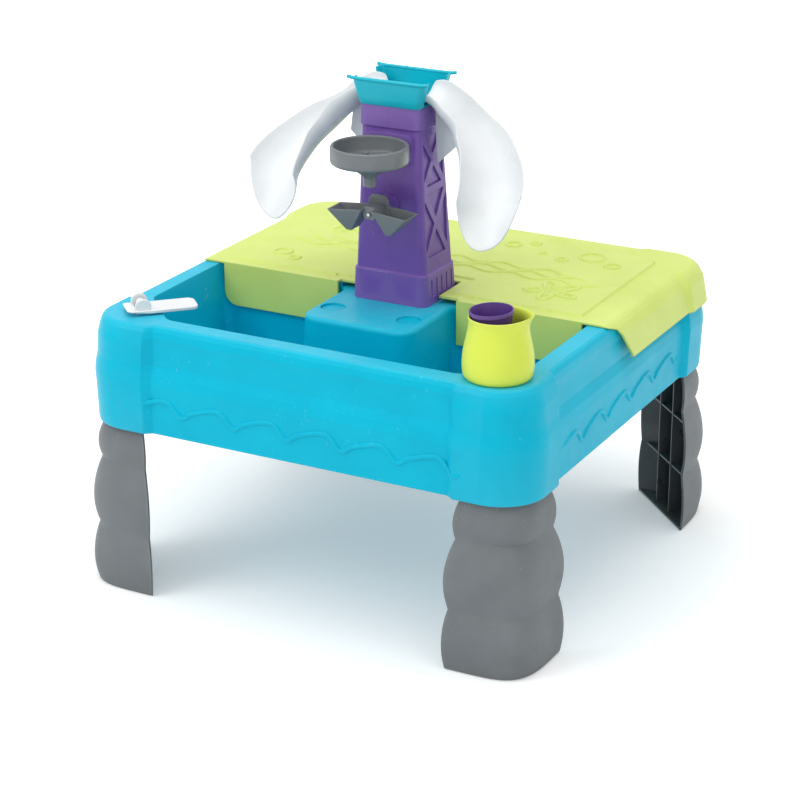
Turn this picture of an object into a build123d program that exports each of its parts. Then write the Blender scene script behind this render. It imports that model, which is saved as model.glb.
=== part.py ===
"""Sand and water play table, modelled in millimetres.

X runs along the front panel, Y from front to back, Z up. The origin is on the floor, under the middle
of the table. The basin stands on four legs and holds a water compartment in front and a sand
compartment behind, under a lift-off lid. A tower on the ledge between them carries a hopper with two
slides, a funnel and a tipping scoop.
"""

import os
from math import cos, pi, radians, sin, sqrt

from build123d import *

os.makedirs("parts", exist_ok=True)

# ---- driving dimensions -------------------------------------------------------------------------

# Overall plan and heights
table_width = 786.0
table_depth = 763.0
skirt_bottom = 279.0
rim_height = 455.0

# Basin walls, corners and side panels
wall = 4.0
column_radius = 78.0
column_reach = 134.0
panel_recess = 10.0
panel_slant = 12.0
panel_blend = 9.0
channel_recess = 14.0
channel_low = 392.0
channel_high = 424.0
belly_height = 362.0

# Rim and compartments
rim_inset = 22.0
rim_round = 12.0
rim_width = 28.0
tub_draft = 14.0
tub_corner = 30.0
pad_chamfer = 80.0
floor_height = 316.0
divider_front = -30.0
divider_width = 28.0

# Ledge under the tower
ledge_half = 98.0
ledge_front = -187.0
ledge_back = 52.0
ledge_height = 447.0
ledge_draft = 6.0
ledge_corner = 32.0
ledge_round = 7.0
dimple_radius = 20.0
dimple_depth = 3.0
dimple_x = 68.0
dimple_y = -128.0

# Wave line pressed into the side panels
wave_count = 5
wave_height = 14.0
wave_width = 3.6
wave_depth = 1.6
wave_level = 326.0
wave_margin = 16.0

# Legs
leg_inset = 9.0
leg_corner = 66.0
leg_chord = 108.0
leg_neck = -3.0
leg_wall = 4.0
leg_top = 330.0
leg_rib = 3.0
leg_rib_spacing = 52.0
leg_rib_setback = 3.0
leg_web_spacing = 94.0
leg_foot_ridges = 6

# Lid
lid_thickness = 4.0
lid_gap = 3.0
lid_front = -42.0
lid_skirt_drop = 60.0
lid_flare = 30.0
lid_apron_drop = 70.0
lid_apron_half = 326.0
lid_notch_half = 108.0
lid_neck_half = 72.0
lid_neck_front = -31.0
lid_panel_margin = 46.0
lid_panel_rise = 3.0

# Tower
tower_base_half = 65.0
tower_base_front = -66.0
tower_base_back = 43.0
tower_top_half = 51.0
tower_top_front = -64.0
tower_top_back = 20.0
tower_top = 768.0
tower_wall = 3.0
tower_corner = 12.0
plinth_height = 53.0
plinth_step = 3.0
collar_height = 36.0
collar_step = 3.0
brace_recess = 3.0
brace_width = 11.0
brace_bar = 12.0
brace_margin = 12.0
plinth_grooves = 5
groove_width = 4.0

# Hopper
hopper_height = 42.0
hopper_flare = 15.0
hopper_wall = 3.0
hopper_mouth = 30.0
hopper_roll = 3.0
hopper_ear = 6.0

# Slides
slide_wall = 2.6

# Funnel
funnel_radius = 64.0
funnel_band = 28.0
funnel_top = 718.0
funnel_wall = 3.0
funnel_cone = 20.0
spout_radius = 10.0
spout_length = 12.0
funnel_pad_width = 84.0
funnel_pad_height = 46.0
funnel_pad_thickness = 4.0

# Tipping scoop
pivot_height = 611.0
pivot_boss_radius = 17.5
pivot_boss_length = 6.0
pivot_pin_radius = 3.0
pivot_clearance = 0.08
scoop_reach = 70.0
scoop_depth = 29.0
scoop_front = -142.0
scoop_back = -98.0
scoop_wall = 2.4
hub_radius = 9.0
hub_crest = 11.0

# Bucket and cup
bucket_x = 308.0
bucket_y = -304.0
bucket_base = 41.0
bucket_belly = 53.0
bucket_neck = 42.0
bucket_mouth = 44.5
bucket_height = 98.0
bucket_wall = 2.6
bucket_lip = 13.0
cup_mouth = 34.0
cup_base = 25.0
cup_height = 106.0
cup_wall = 2.2
cup_rim = 4.0

# Flip launcher
launcher_x = -312.0
launcher_y = -310.0
launcher_width = 46.0
launcher_inner = 82.0
launcher_outer = 26.0
launcher_plate = 5.0
launcher_base_plate = 3.0
launcher_ear_radius = 13.0
launcher_ear = 5.0
launcher_pin_radius = 3.0

# Drain
drain_radius = 11.0
drain_x = 250.0
drain_y = -110.0
plug_head = 15.0

# Fasteners
screw_radius = 2.0
screw_clearance = 0.4
screw_head_radius = 4.5
screw_head_height = 2.6
screw_length = 14.0
fit_gap = 0.3

# ---- values that follow -------------------------------------------------------------------------

half_width = table_width / 2
half_depth = table_depth / 2
rim_half_width = half_width - rim_inset - panel_recess + 2
rim_half_depth = half_depth - rim_inset - panel_recess + 2
tub_half_width = rim_half_width - rim_width
tub_front = -(rim_half_depth - rim_width)
tub_back = -tub_front
divider_back = divider_front + divider_width
floor_under = floor_height - wall
web_diagonal = (tub_half_width - tub_front - pad_chamfer) * 0.99 - tub_draft

# Two screws hold each leg, side by side on the line across its corner
leg_screw_middle = 329.0
leg_screw_side = 9.0
leg_screw_places = [
    (right * (leg_screw_middle + side), back * (leg_screw_middle - side))
    for right in (-1, 1)
    for back in (-1, 1)
    for side in (-leg_screw_side, leg_screw_side)
]
tower_screw_places = [(x, y) for x in (-54, 54) for y in (-52, 28)]
lid_point = 15.0
hopper_lip_half = 64.0
hopper_ears = (-66.0, 66.0)
slide_fin_high = 728.0
slide_fin_low = 672.0
slide_fin_reach = 100.0
screw_boss_height = 22.0
bucket_band = 9.0
cup_x = bucket_x - 7.0
cup_y = bucket_y + 4.0
launcher_rise = 10.0
launcher_base_shift = 0.0
launcher_base_length = 50.0
launcher_barrel = 9.0
tongue_radius = 41.0


# ---- basin --------------------------------------------------------------------------------------

# Levels of the outside wall: height, inset from the widest outline, depth of the panels behind the
# corner columns. The belly is the widest; a soft channel runs under the rolled rim.
outside_levels = [
    (skirt_bottom, 4.0, panel_recess - 1),
    (skirt_bottom + 4, 3.0, panel_recess),
    (belly_height, 0.0, panel_recess),
    (belly_height + 14, 1.5, panel_recess + 1),
    (channel_low, 5.0, channel_recess),
    (channel_high, 7.0, channel_recess),
    (rim_height - 19, rim_inset - rim_round, panel_recess),
    (rim_height - 9, rim_inset - rim_round + 3, panel_recess - 1),
    (rim_height - 3, rim_inset - 5, panel_recess - 2),
    (rim_height, rim_inset, panel_recess - 2),
]


def outside_outline(level, inset, recess):
    """Plan of the basin's outside: rounded corner columns joined by set-back side panels."""
    with BuildSketch(Plane.XY.offset(level)) as outline:
        RectangleRounded(table_width - 2 * inset, table_depth - 2 * inset, column_radius - inset)
        for turn, reach, distance in (
            (0, half_width - column_reach, half_depth - inset),
            (90, half_depth - column_reach, half_width - inset),
            (180, half_width - column_reach, half_depth - inset),
            (270, half_depth - column_reach, half_width - inset),
        ):
            with Locations(Location((0, 0, 0), (0, 0, turn))):
                with BuildLine(mode=Mode.PRIVATE) as notch:
                    Polyline(
                        (-reach - panel_slant, -distance),
                        (-reach, -distance + recess),
                        (reach, -distance + recess),
                        (reach + panel_slant, -distance),
                        (-reach - panel_slant, -distance),
                    )
                with BuildSketch(mode=Mode.PRIVATE) as notch_face:
                    add(notch.line)
                    make_face()
                add(notch_face.sketch, mode=Mode.SUBTRACT)
    return outline


def outside_body(extra_inset, levels):
    """Solid inside the outer wall, shrunk by extra_inset all round."""
    with BuildPart() as body:
        for level, inset, recess in levels:
            add(outside_outline(level, inset + extra_inset, recess).sketch)
        loft(ruled=True)
    return body


def water_outline(level, shrink, trim):
    """Plan of the water compartment, U-shaped round the ledge, shrunk by shrink; trim rounds the ledge."""
    side = tub_half_width - shrink
    front = tub_front + shrink
    back = divider_front - shrink / 2
    ledge_side = ledge_half + shrink / 2 - trim
    ledge_nose = ledge_front - shrink / 2 + trim
    cut = pad_chamfer - 0.586 * shrink
    with BuildSketch(Plane.XY.offset(level)) as outline:
        with BuildLine():
            Polyline(
                (-side, back),
                (-side, front + cut),
                (-side + cut, front),
                (side - cut, front),
                (side, front + cut),
                (side, back),
                (ledge_side, back),
                (ledge_side, ledge_nose),
                (-ledge_side, ledge_nose),
                (-ledge_side, back),
                (-side, back),
            )
        make_face()
        corners = outline.vertices()
        fillet(corners.filter_by(lambda v: abs(v.X) > side - cut - 1 and v.Y < back - 1), tub_corner)
        fillet(outline.vertices().filter_by(lambda v: abs(v.X) > side - 1 and v.Y > back - 1), tub_corner / 2)
        fillet(outline.vertices().filter_by(lambda v: abs(v.X) < ledge_side + 1 and v.Y > back - 1), tub_corner / 2)
        fillet(outline.vertices().filter_by(lambda v: abs(v.X) < ledge_side + 1 and v.Y < ledge_nose + 1),
               ledge_corner - trim)
    return outline


def sand_outline(level, shrink, trim):
    """Plan of the sand compartment, notched round the back of the ledge, shrunk by shrink."""
    side = tub_half_width - shrink
    back = tub_back - shrink
    front = divider_back + shrink / 2
    ledge_side = ledge_half + shrink / 2 - trim
    ledge_end = ledge_back + shrink / 2 - trim
    with BuildSketch(Plane.XY.offset(level)) as outline:
        with BuildLine():
            Polyline(
                (-side, front),
                (-ledge_side, front),
                (-ledge_side, ledge_end),
                (ledge_side, ledge_end),
                (ledge_side, front),
                (side, front),
                (side, back),
                (-side, back),
                (-side, front),
            )
        make_face()
        fillet(outline.vertices().filter_by(lambda v: v.Y > back - 1), tub_corner * 2)
        fillet(outline.vertices().filter_by(lambda v: abs(v.X) > side - 1 and v.Y < front + 1), tub_corner / 2)
        fillet(outline.vertices().filter_by(lambda v: abs(v.X) < ledge_side + 1), tub_corner / 3)
    return outline


# Levels of the compartments, with the rounding of the ledge's top edge
core_levels = [(floor_height, 0.0), (ledge_height - ledge_round, 0.0)]
for turn in (30, 60, 90):
    rise = ledge_round * sin(radians(turn))
    core_levels.append((ledge_height - ledge_round + rise, ledge_round * (1 - cos(radians(turn)))))
core_levels.append((rim_height + 1, ledge_round))


def tub_core(outline, grow):
    """Space inside one compartment, grown by grow for the wall round it."""
    with BuildPart() as core:
        for level, trim in core_levels:
            shrink = tub_draft * (rim_height - level) / (rim_height - floor_height)
            add(outline(level - (grow if level == floor_height else 0), shrink - grow, trim).sketch)
        loft(ruled=True)
    return core


water_core = tub_core(water_outline, 0)
sand_core = tub_core(sand_outline, 0)
water_wall = tub_core(water_outline, wall)
sand_wall = tub_core(sand_outline, wall)

void_levels = [level for level in outside_levels if level[0] < rim_height - wall]
void_levels.append((rim_height - wall, rim_inset - 2, panel_recess - 2))
void_levels[0] = (skirt_bottom - 1, 4.0, panel_recess - 1)

with BuildPart() as hollow:
    # Space under the rim, between the skirt and the compartments, open to the floor
    add(outside_body(wall, void_levels).part)
    add(water_wall.part, mode=Mode.SUBTRACT)
    add(sand_wall.part, mode=Mode.SUBTRACT)
    with BuildSketch(Plane.XY.offset(ledge_height - wall)):
        with Locations((0, (ledge_front + ledge_back) / 2)):
            Rectangle(2 * ledge_half + 16, ledge_back - ledge_front + 16)
    extrude(amount=rim_height, mode=Mode.SUBTRACT)


with BuildPart() as corner_webs:
    # Flat webs across the corner columns, which rest on the legs
    add(outside_outline(leg_top, 4.0 + wall / 2, panel_recess).sketch)
    extrude(amount=wall)
    with BuildSketch(Plane.XY.offset(leg_top - 1)):
        with Locations(Location((0, 0, 0), (0, 0, 45))):
            Rectangle(web_diagonal * sqrt(2), web_diagonal * sqrt(2))
    extrude(amount=wall + 2, mode=Mode.SUBTRACT)
    add(water_core.part, mode=Mode.SUBTRACT)
    add(sand_core.part, mode=Mode.SUBTRACT)
    with Locations(*[(x, y, leg_top) for x, y in leg_screw_places]):
        Cylinder(screw_radius + fit_gap / 6, 3 * wall, mode=Mode.SUBTRACT)

with BuildPart() as basin:
    add(outside_body(0, outside_levels).part)
    add(hollow.part, mode=Mode.SUBTRACT)
    add(water_core.part, mode=Mode.SUBTRACT)
    add(sand_core.part, mode=Mode.SUBTRACT)
    add(corner_webs.part)
    # Ledge, lower than the rim
    with BuildSketch(Plane.XY.offset(ledge_height)):
        with Locations((0, (ledge_front + ledge_back) / 2)):
            Rectangle(2 * ledge_half + 16, ledge_back - ledge_front + 16)
    extrude(amount=wall + rim_height - ledge_height, mode=Mode.SUBTRACT)
    # Two shallow dimples in the ledge's front corners
    with Locations((-dimple_x, dimple_y, ledge_height), (dimple_x, dimple_y, ledge_height)):
        Cylinder(dimple_radius, 2 * dimple_depth, mode=Mode.SUBTRACT)
    # Screw holes under the tower and the drain
    with Locations(*[(x, y, ledge_height - wall / 2) for x, y in tower_screw_places]):
        Cylinder(screw_radius + screw_clearance, 2 * wall, mode=Mode.SUBTRACT)
    with Locations((drain_x, drain_y, floor_height - wall / 2)):
        Cylinder(drain_radius, 2 * wall, mode=Mode.SUBTRACT)


# ---- legs ---------------------------------------------------------------------------------------

# Swell of the leg's faces beyond its upright outline, from the floor up: three stacked bulges
leg_levels = [
    (0.0, 9.0),
    (10.0, 14.0),
    (42.0, 16.5),
    (72.0, 11.0),
    (102.0, 5.0),
    (130.0, 7.0),
    (158.0, 9.0),
    (188.0, 3.0),
    (216.0, -3.0),
    (240.0, 1.0),
    (262.0, 3.5),
    (skirt_bottom - 1.0, leg_neck),
]


def leg_outline(level, swell, beyond=0.0):
    """Plan of the back right leg: a rounded corner cut off by a chord towards the middle."""
    face_x = half_width - leg_inset + swell
    face_y = half_depth - leg_inset + swell
    chord = half_width + half_depth - 2 * leg_inset - leg_chord - beyond
    with BuildSketch(Plane.XY.offset(level)) as outline:
        with BuildLine():
            Polyline(
                (chord - face_y, face_y),
                (face_x, face_y),
                (face_x, chord - face_x),
                (chord - face_y, face_y),
            )
        make_face()
        fillet(outline.vertices().group_by(Axis.Y)[-1].sort_by(Axis.X)[-1], leg_corner + swell / 2)
    return outline


def leg_solid(shrink, beyond):
    """Waved solid of the leg, shrunk by shrink, with its neck inside the basin."""
    with BuildPart() as solid:
        for level, swell in leg_levels:
            add(leg_outline(level, swell - shrink, beyond).sketch)
        loft()
        add(leg_outline(skirt_bottom - 1.0, leg_neck - shrink, beyond).sketch)
        extrude(amount=leg_top - skirt_bottom + 1.0)
    return solid


with BuildPart() as leg_ribs:
    add(leg_solid(leg_wall / 2, -leg_rib_setback).part)
    with BuildPart(mode=Mode.PRIVATE) as plates:
        with Locations(Location((0, 0, 0), (0, 0, 45))):
            with Locations((0, -leg_rib_spacing / 2, 0), (0, leg_rib_spacing / 2, 0)):
                Box(2 * table_width, leg_rib, leg_top, align=(Align.CENTER, Align.CENTER, Align.MIN))
        with Locations(*[(0, 0, leg_web_spacing * step) for step in (1, 2, 3)]):
            Box(2 * table_width, 2 * table_width, leg_rib, align=(Align.CENTER, Align.CENTER, Align.MIN))
    add(plates.part, mode=Mode.INTERSECT)

with BuildPart() as leg_core:
    add(leg_solid(leg_wall, 2 * leg_wall).part)
    with BuildSketch():
        Rectangle(2 * table_width, 2 * table_width)
    extrude(amount=leg_wall, mode=Mode.SUBTRACT)
    with BuildSketch(Plane.XY.offset(leg_top - leg_wall)):
        Rectangle(2 * table_width, 2 * table_width)
    extrude(amount=2 * leg_wall, mode=Mode.SUBTRACT)

with BuildPart() as leg_back_right:
    add(leg_solid(0, 0).part)
    add(leg_core.part, mode=Mode.SUBTRACT)
    add(leg_ribs.part)
    with Locations(*[(x, y, leg_top) for x, y in leg_screw_places if x > 0 and y > 0]):
        Cylinder(screw_radius + screw_clearance, 3 * leg_wall, mode=Mode.SUBTRACT)

with BuildPart() as leg_back_left:
    mirror(leg_back_right.part, about=Plane.YZ)

with BuildPart() as leg_front_right:
    mirror(leg_back_right.part, about=Plane.XZ)

with BuildPart() as leg_front_left:
    mirror(leg_back_left.part, about=Plane.XZ)


# ---- lid ----------------------------------------------------------------------------------------

# Levels of the lid's outside, following the rim and the columns below it
lid_top = rim_height + lid_thickness
lid_levels = [
    (rim_height - lid_skirt_drop, -lid_gap - 2, panel_recess - 4),
    (rim_height - 18, 3.0, panel_recess - 3),
    (rim_height - 6, 9.5, panel_recess - 2),
    (rim_height, 15.5, panel_recess - 2),
    (lid_top - 1, 21.0, panel_recess - 2),
    (lid_top, 27.0, panel_recess - 2),
]
lid_core_levels = [
    (rim_height - lid_skirt_drop - 1, lid_thickness - lid_gap - 2, panel_recess - 4),
    (rim_height - 18, 3.0 + lid_thickness, panel_recess - 3),
    (rim_height - 8, 8.5 + lid_thickness, panel_recess - 2),
    (rim_height - 3, 11.5 + lid_thickness, panel_recess - 2),
    (rim_height, rim_inset - 2, panel_recess - 2),
]


def tower_notch(margin):
    """Plan of the gap in the lid round the ledge and the tower, widened by margin."""
    with BuildSketch() as notch:
        with Locations((0, lid_front)):
            Rectangle(2 * (lid_notch_half + margin), 2 * (lid_neck_front - lid_front + margin))
        with Locations((0, lid_front)):
            Rectangle(
                2 * (lid_neck_half + margin),
                tower_base_back + plinth_step + lid_gap + margin - lid_front,
                align=(Align.CENTER, Align.MIN),
            )
    return notch


with BuildPart() as lid:
    add(outside_body(0, lid_levels).part)
    # Raised middle panel with a border round it
    with BuildSketch(Plane.XY.offset(lid_top)):
        with BuildSketch(mode=Mode.PRIVATE) as panel:
            RectangleRounded(
                2 * (rim_half_width - lid_panel_margin),
                2 * (rim_half_depth - lid_panel_margin),
                tub_corner,
            )
            with Locations((0, lid_front + lid_panel_margin / 2)):
                Rectangle(table_width, table_depth, align=(Align.CENTER, Align.MAX), mode=Mode.SUBTRACT)
            add(tower_notch(lid_panel_margin / 3).sketch, mode=Mode.SUBTRACT)
        add(panel.sketch)
    extrude(amount=lid_panel_rise, taper=40)
    add(outside_body(0, lid_core_levels).part, mode=Mode.SUBTRACT)
    # Only the part behind the front edge stays
    with BuildSketch(Plane.XY.offset(skirt_bottom)):
        with Locations((0, lid_front)):
            Rectangle(2 * table_width, table_depth, align=(Align.CENTER, Align.MAX))
    extrude(amount=table_width, mode=Mode.SUBTRACT)
    # The side skirts slope forward to a point behind the rim
    with BuildSketch(Plane.YZ):
        with BuildLine():
            Polyline(
                (lid_front - 10, rim_height - 80),
                (lid_point, rim_height - 80),
                (lid_point, rim_height - lid_skirt_drop + 4),
                (lid_front + 26, rim_height - 8),
                (lid_front, rim_height + 1),
                (lid_front - 10, rim_height + 1),
                (lid_front - 10, rim_height - 80),
            )
        make_face()
    extrude(amount=table_width, both=True, mode=Mode.SUBTRACT)
    # Apron hanging inside the water compartment
    with BuildSketch(Plane.XZ.offset(-lid_front)) as apron:
        with Locations((0, lid_top)):
            Rectangle(2 * lid_apron_half, lid_top - rim_height + lid_apron_drop,
                      align=(Align.CENTER, Align.MAX))
        fillet(apron.vertices().group_by(Axis.Y)[0], tub_corner * 0.8)
    extrude(amount=-lid_thickness)
    with BuildSketch(Plane.XY.offset(skirt_bottom)):
        add(tower_notch(0).sketch)
    extrude(amount=table_width, mode=Mode.SUBTRACT)


# ---- tower --------------------------------------------------------------------------------------


def tower_share(level):
    """How far up the tower a level is, from 0 at the ledge to 1 at the top."""
    return (level - ledge_height) / (tower_top - ledge_height)


def tower_half(level):
    """Half of the tower's width at a level."""
    return tower_base_half + (tower_top_half - tower_base_half) * tower_share(level)


def tower_front(level):
    """Y of the tower's front face at a level."""
    return tower_base_front + (tower_top_front - tower_base_front) * tower_share(level)


def tower_back(level):
    """Y of the tower's back face at a level."""
    return tower_base_back + (tower_top_back - tower_base_back) * tower_share(level)


def tower_outline(level, grow_x, grow_y):
    """Plan of the tower at a level, grown on its sides by grow_x and front and back by grow_y."""
    width = 2 * (tower_half(level) + grow_x)
    depth = tower_back(level) - tower_front(level) + 2 * grow_y
    with BuildSketch(Plane.XY.offset(level)) as outline:
        with Locations((0, (tower_back(level) + tower_front(level)) / 2)):
            RectangleRounded(width, depth, max(tower_corner + min(grow_x, grow_y), 2))
    return outline


def tower_block(levels):
    """Solid lofted through levels, each with its growth of the sides and of the front and back."""
    with BuildPart() as block:
        for level, grow_x, grow_y in levels:
            add(tower_outline(level, grow_x, grow_y).sketch)
        loft(ruled=True)
    return block


plinth_top = ledge_height + plinth_height
collar_bottom = tower_top - collar_height
upper_brace_top = collar_bottom - brace_bar
middle_bar = (plinth_top + upper_brace_top) / 2 + 2 * brace_bar

# Bays between the bars, from bottom to top
brace_bays = [
    (plinth_top + 2 * brace_bar, middle_bar - brace_bar / 2),
    (middle_bar + brace_bar / 2, upper_brace_top),
]

with BuildPart() as brace_pockets:
    # Four triangles in each bay leave a cross brace standing
    with BuildSketch(Plane.YZ):
        for low, high in brace_bays:
            front = tower_front(low) + brace_margin
            back = tower_back(high) - brace_margin
            middle = ((front + back) / 2, (low + high) / 2)
            with BuildSketch(mode=Mode.PRIVATE) as bay:
                with Locations(middle):
                    Rectangle(back - front, high - low)
                with BuildLine(mode=Mode.PRIVATE) as rising:
                    Line((front, low), (back, high))
                with BuildLine(mode=Mode.PRIVATE) as falling:
                    Line((front, high), (back, low))
                for bar in (rising, falling):
                    trace(bar.line, line_width=brace_width, mode=Mode.SUBTRACT)
            add(bay.sketch)
    extrude(amount=table_width / 4, both=True)
    add(tower_block([(ledge_height, -brace_recess, 60), (tower_top, -brace_recess, 60)]).part,
        mode=Mode.SUBTRACT)

with BuildPart() as plinth_slots:
    groove_pitch = (tower_base_back - tower_base_front - 2 * brace_margin) / plinth_grooves
    with BuildSketch(Plane.YZ):
        with Locations(((tower_base_back + tower_base_front) / 2, ledge_height + 0.5 * plinth_height)):
            with GridLocations(groove_pitch, 1, plinth_grooves, 1):
                SlotOverall(plinth_height * 0.56, groove_width, rotation=90)
    extrude(amount=table_width / 4, both=True)
    add(tower_block([(ledge_height, plinth_step - 1.5, 60), (tower_top, plinth_step - 1.5, 60)]).part,
        mode=Mode.SUBTRACT)

with BuildPart() as tower:
    add(tower_block([(ledge_height, 0, 0), (tower_top, 0, 0)]).part)
    add(tower_block([
        (ledge_height, plinth_step, plinth_step),
        (plinth_top - plinth_step, plinth_step, plinth_step),
        (plinth_top, 0, 0),
    ]).part)
    add(tower_block([
        (collar_bottom, 0.2, 0.2),
        (collar_bottom + collar_step, collar_step, collar_step),
        (tower_top, collar_step, collar_step),
    ]).part)
    add(brace_pockets.part, mode=Mode.SUBTRACT)
    add(plinth_slots.part, mode=Mode.SUBTRACT)
    add(tower_block([
        (ledge_height - 1, -tower_wall - brace_recess, -tower_wall),
        (tower_top - tower_wall, -tower_wall - brace_recess, -tower_wall),
    ]).part, mode=Mode.SUBTRACT)
    # Pad behind the funnel and boss behind the tipping scoop
    with BuildSketch(Plane.XZ.offset(-tower_front(funnel_top) - tower_wall / 2)):
        with Locations((0, funnel_top - funnel_pad_height / 2 + 8)):
            RectangleRounded(funnel_pad_width, funnel_pad_height, 8)
    extrude(amount=funnel_pad_thickness + tower_wall / 2)
    with BuildSketch(Plane.XZ.offset(-tower_front(pivot_height) - tower_wall / 2)):
        with Locations((0, pivot_height)):
            Circle(pivot_boss_radius)
    extrude(amount=pivot_boss_length + tower_wall / 2)
    with BuildSketch(Plane.XZ.offset(-tower_front(pivot_height) - tower_wall / 2)):
        with Locations((0, pivot_height)):
            Circle(hub_radius - 1)
    extrude(amount=tower_front(pivot_height) - scoop_back - fit_gap + tower_wall / 2)
    with BuildSketch(Plane.XZ.offset(-tower_front(pivot_height) - 3 * tower_wall)):
        with Locations((0, pivot_height)):
            Circle(pivot_pin_radius)
    extrude(amount=table_width / 8, mode=Mode.SUBTRACT)
    # Screw bosses standing on the ledge
    with Locations(*[(x, y, ledge_height) for x, y in tower_screw_places]):
        Cylinder(3 * screw_radius, screw_boss_height, align=(Align.CENTER, Align.CENTER, Align.MIN))
        Cylinder(screw_radius + fit_gap / 6, 2 * screw_length, mode=Mode.SUBTRACT)

with BuildPart() as tower_left_shell:
    add(tower.part)
    split(bisect_by=Plane.YZ, keep=Keep.BOTTOM)

with BuildPart() as tower_right_shell:
    add(tower.part)
    split(bisect_by=Plane.YZ, keep=Keep.TOP)


# ---- hopper -------------------------------------------------------------------------------------

hopper_middle = (tower_top_front + tower_top_back) / 2
hopper_half_depth = (tower_top_back - tower_top_front) / 2
hopper_top = tower_top + hopper_height


def hopper_outline(level, flare, shrink):
    """Plan of the hopper at a level, flared outwards by flare."""
    with BuildSketch(Plane.XY.offset(level)) as outline:
        with Locations((0, hopper_middle)):
            RectangleRounded(
                2 * (tower_top_half - hopper_wall + flare - shrink),
                2 * (hopper_half_depth + flare / 2 - shrink),
                tower_corner - shrink,
            )
    return outline


with BuildPart() as hopper:
    add(hopper_outline(tower_top, 0, 0).sketch)
    add(hopper_outline(hopper_top, hopper_flare * 0.7, 0).sketch)
    loft(ruled=True)
    with BuildPart(mode=Mode.PRIVATE) as bay:
        add(hopper_outline(tower_top + hopper_wall, hopper_flare * 0.05, hopper_wall).sketch)
        add(hopper_outline(hopper_top + 1, hopper_flare * 0.72, hopper_wall).sketch)
        loft(ruled=True)
    add(bay.part, mode=Mode.SUBTRACT)
    # Mouths to the two slides
    with BuildSketch(Plane.YZ):
        with Locations((hopper_middle, tower_top + hopper_wall)):
            Rectangle(2 * hopper_mouth + 2 * fit_gap, hopper_height, align=(Align.CENTER, Align.MIN))
    extrude(amount=table_width / 4, both=True, mode=Mode.SUBTRACT)
    # Rolled lips with knobs at their ends
    for side, face in ((-1, hopper_middle - hopper_half_depth), (1, hopper_middle + hopper_half_depth)):
        lip_y = face + side * hopper_flare * 0.35
        with BuildSketch(Plane.YZ):
            with Locations((lip_y - side * hopper_roll / 3, hopper_top - hopper_roll / 3)):
                Circle(hopper_roll)
        extrude(amount=hopper_lip_half, both=True)
        with Locations(*[(x, lip_y - side * hopper_ear / 2, hopper_top) for x in hopper_ears]):
            Cylinder(hopper_roll, hopper_ear + 3, rotation=(90, 0, 0))
    # Low ridge that parts the water to both sides
    with BuildSketch(Plane.XZ.offset(-hopper_middle)):
        with Locations((0, tower_top + hopper_wall)):
            Triangle(c=2 * hopper_mouth / 2, a=hopper_mouth * 0.55, b=hopper_mouth * 0.55,
                     align=(Align.CENTER, Align.MIN))
    extrude(amount=hopper_mouth, both=True)


# ---- slides -------------------------------------------------------------------------------------

# Middle of the right slide's floor, from the hopper to the tongue
slide_route = [
    (34.0, hopper_middle, tower_top + 2 * hopper_wall),
    (78.0, hopper_middle - 1, 760.5),
    (116.0, -27.0, 727.0),
    (150.0, -46.0, 686.0),
    (176.0, -76.0, 637.0),
    (186.0, -112.0, 574.0),
]
# Trough at even steps of the route: width, height of the near wall, height of the far wall
slide_sections = [
    (60.0, 28.0, 28.0),
    (64.0, 32.0, 34.0),
    (72.0, 34.0, 42.0),
    (80.0, 34.0, 50.0),
    (86.0, 30.0, 44.0),
    (84.0, 22.0, 26.0),
]


def trough_outline(plane, width, near, far, shrink):
    """Half-oval section of the slide on its plane, shrunk by shrink."""
    half = width / 2 - shrink
    raised = shrink * 4
    with BuildSketch(plane) as outline:
        with BuildLine():
            EllipticalCenterArc((0, near), half, near - shrink, start_angle=180, arc_size=90)
            EllipticalCenterArc((0, far), half, far - shrink, start_angle=270, arc_size=90)
            Polyline((half, far), (half, far + raised + 0.01), (-half, near + raised + 0.01), (-half, near))
        make_face()
    return outline


with BuildLine() as slide_path:
    Spline(*slide_route, tangents=[(1, 0, 0), (0.04, -0.42, -0.9)])


def slide_solid(shrink):
    """Solid lofted through the trough's sections, shrunk by shrink."""
    with BuildPart() as solid:
        for index, (width, near, far) in enumerate(slide_sections):
            share = index / (len(slide_sections) - 1)
            heading = slide_path.line % share
            across = Vector(0, 0, 1).cross(heading).normalized()
            plane = Plane(origin=slide_path.line @ share, x_dir=across, z_dir=heading)
            add(trough_outline(plane, width, near, far, shrink).sketch)
        loft()
    return solid


slide_core = slide_solid(slide_wall)
slide_end = slide_path.line @ 1
slide_end_heading = slide_path.line % 1
slide_end_across = Vector(0, 0, 1).cross(slide_end_heading).normalized()
slide_end_facing = slide_end_heading.cross(slide_end_across)

with BuildPart() as slide_right:
    add(slide_solid(0).part)
    # Fin under the trough, hooked to the side of the tower
    with BuildSketch(Plane.XZ.offset(-hopper_middle + 9)):
        with BuildLine():
            Polyline(
                (tower_half(slide_fin_low), slide_fin_low),
                (tower_half(slide_fin_high), slide_fin_high),
                (tower_half(slide_fin_high) + 2 * collar_step, slide_fin_high),
                (tower_half(slide_fin_high) + 2 * collar_step, tower_top + 6),
                (slide_fin_reach, slide_fin_low + 72),
                (slide_fin_reach - 5, slide_fin_low + 38),
                (tower_half(slide_fin_low), slide_fin_low),
            )
        make_face()
    extrude(amount=slide_wall / 2, both=True)
    add(slide_core.part, mode=Mode.SUBTRACT)
    # Rounded tongue
    with BuildSketch(Plane(origin=slide_end, x_dir=slide_end_across, z_dir=slide_end_facing)):
        with Locations((0, -slide_wall)):
            Rectangle(3 * tongue_radius, tongue_radius, align=(Align.CENTER, Align.MIN))
        with Locations((0, tongue_radius)):
            Circle(tongue_radius, mode=Mode.SUBTRACT)
    extrude(amount=tongue_radius, both=True, mode=Mode.SUBTRACT)

with BuildPart() as slide_left:
    mirror(slide_right.part, about=Plane.YZ)


# ---- funnel -------------------------------------------------------------------------------------

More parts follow.
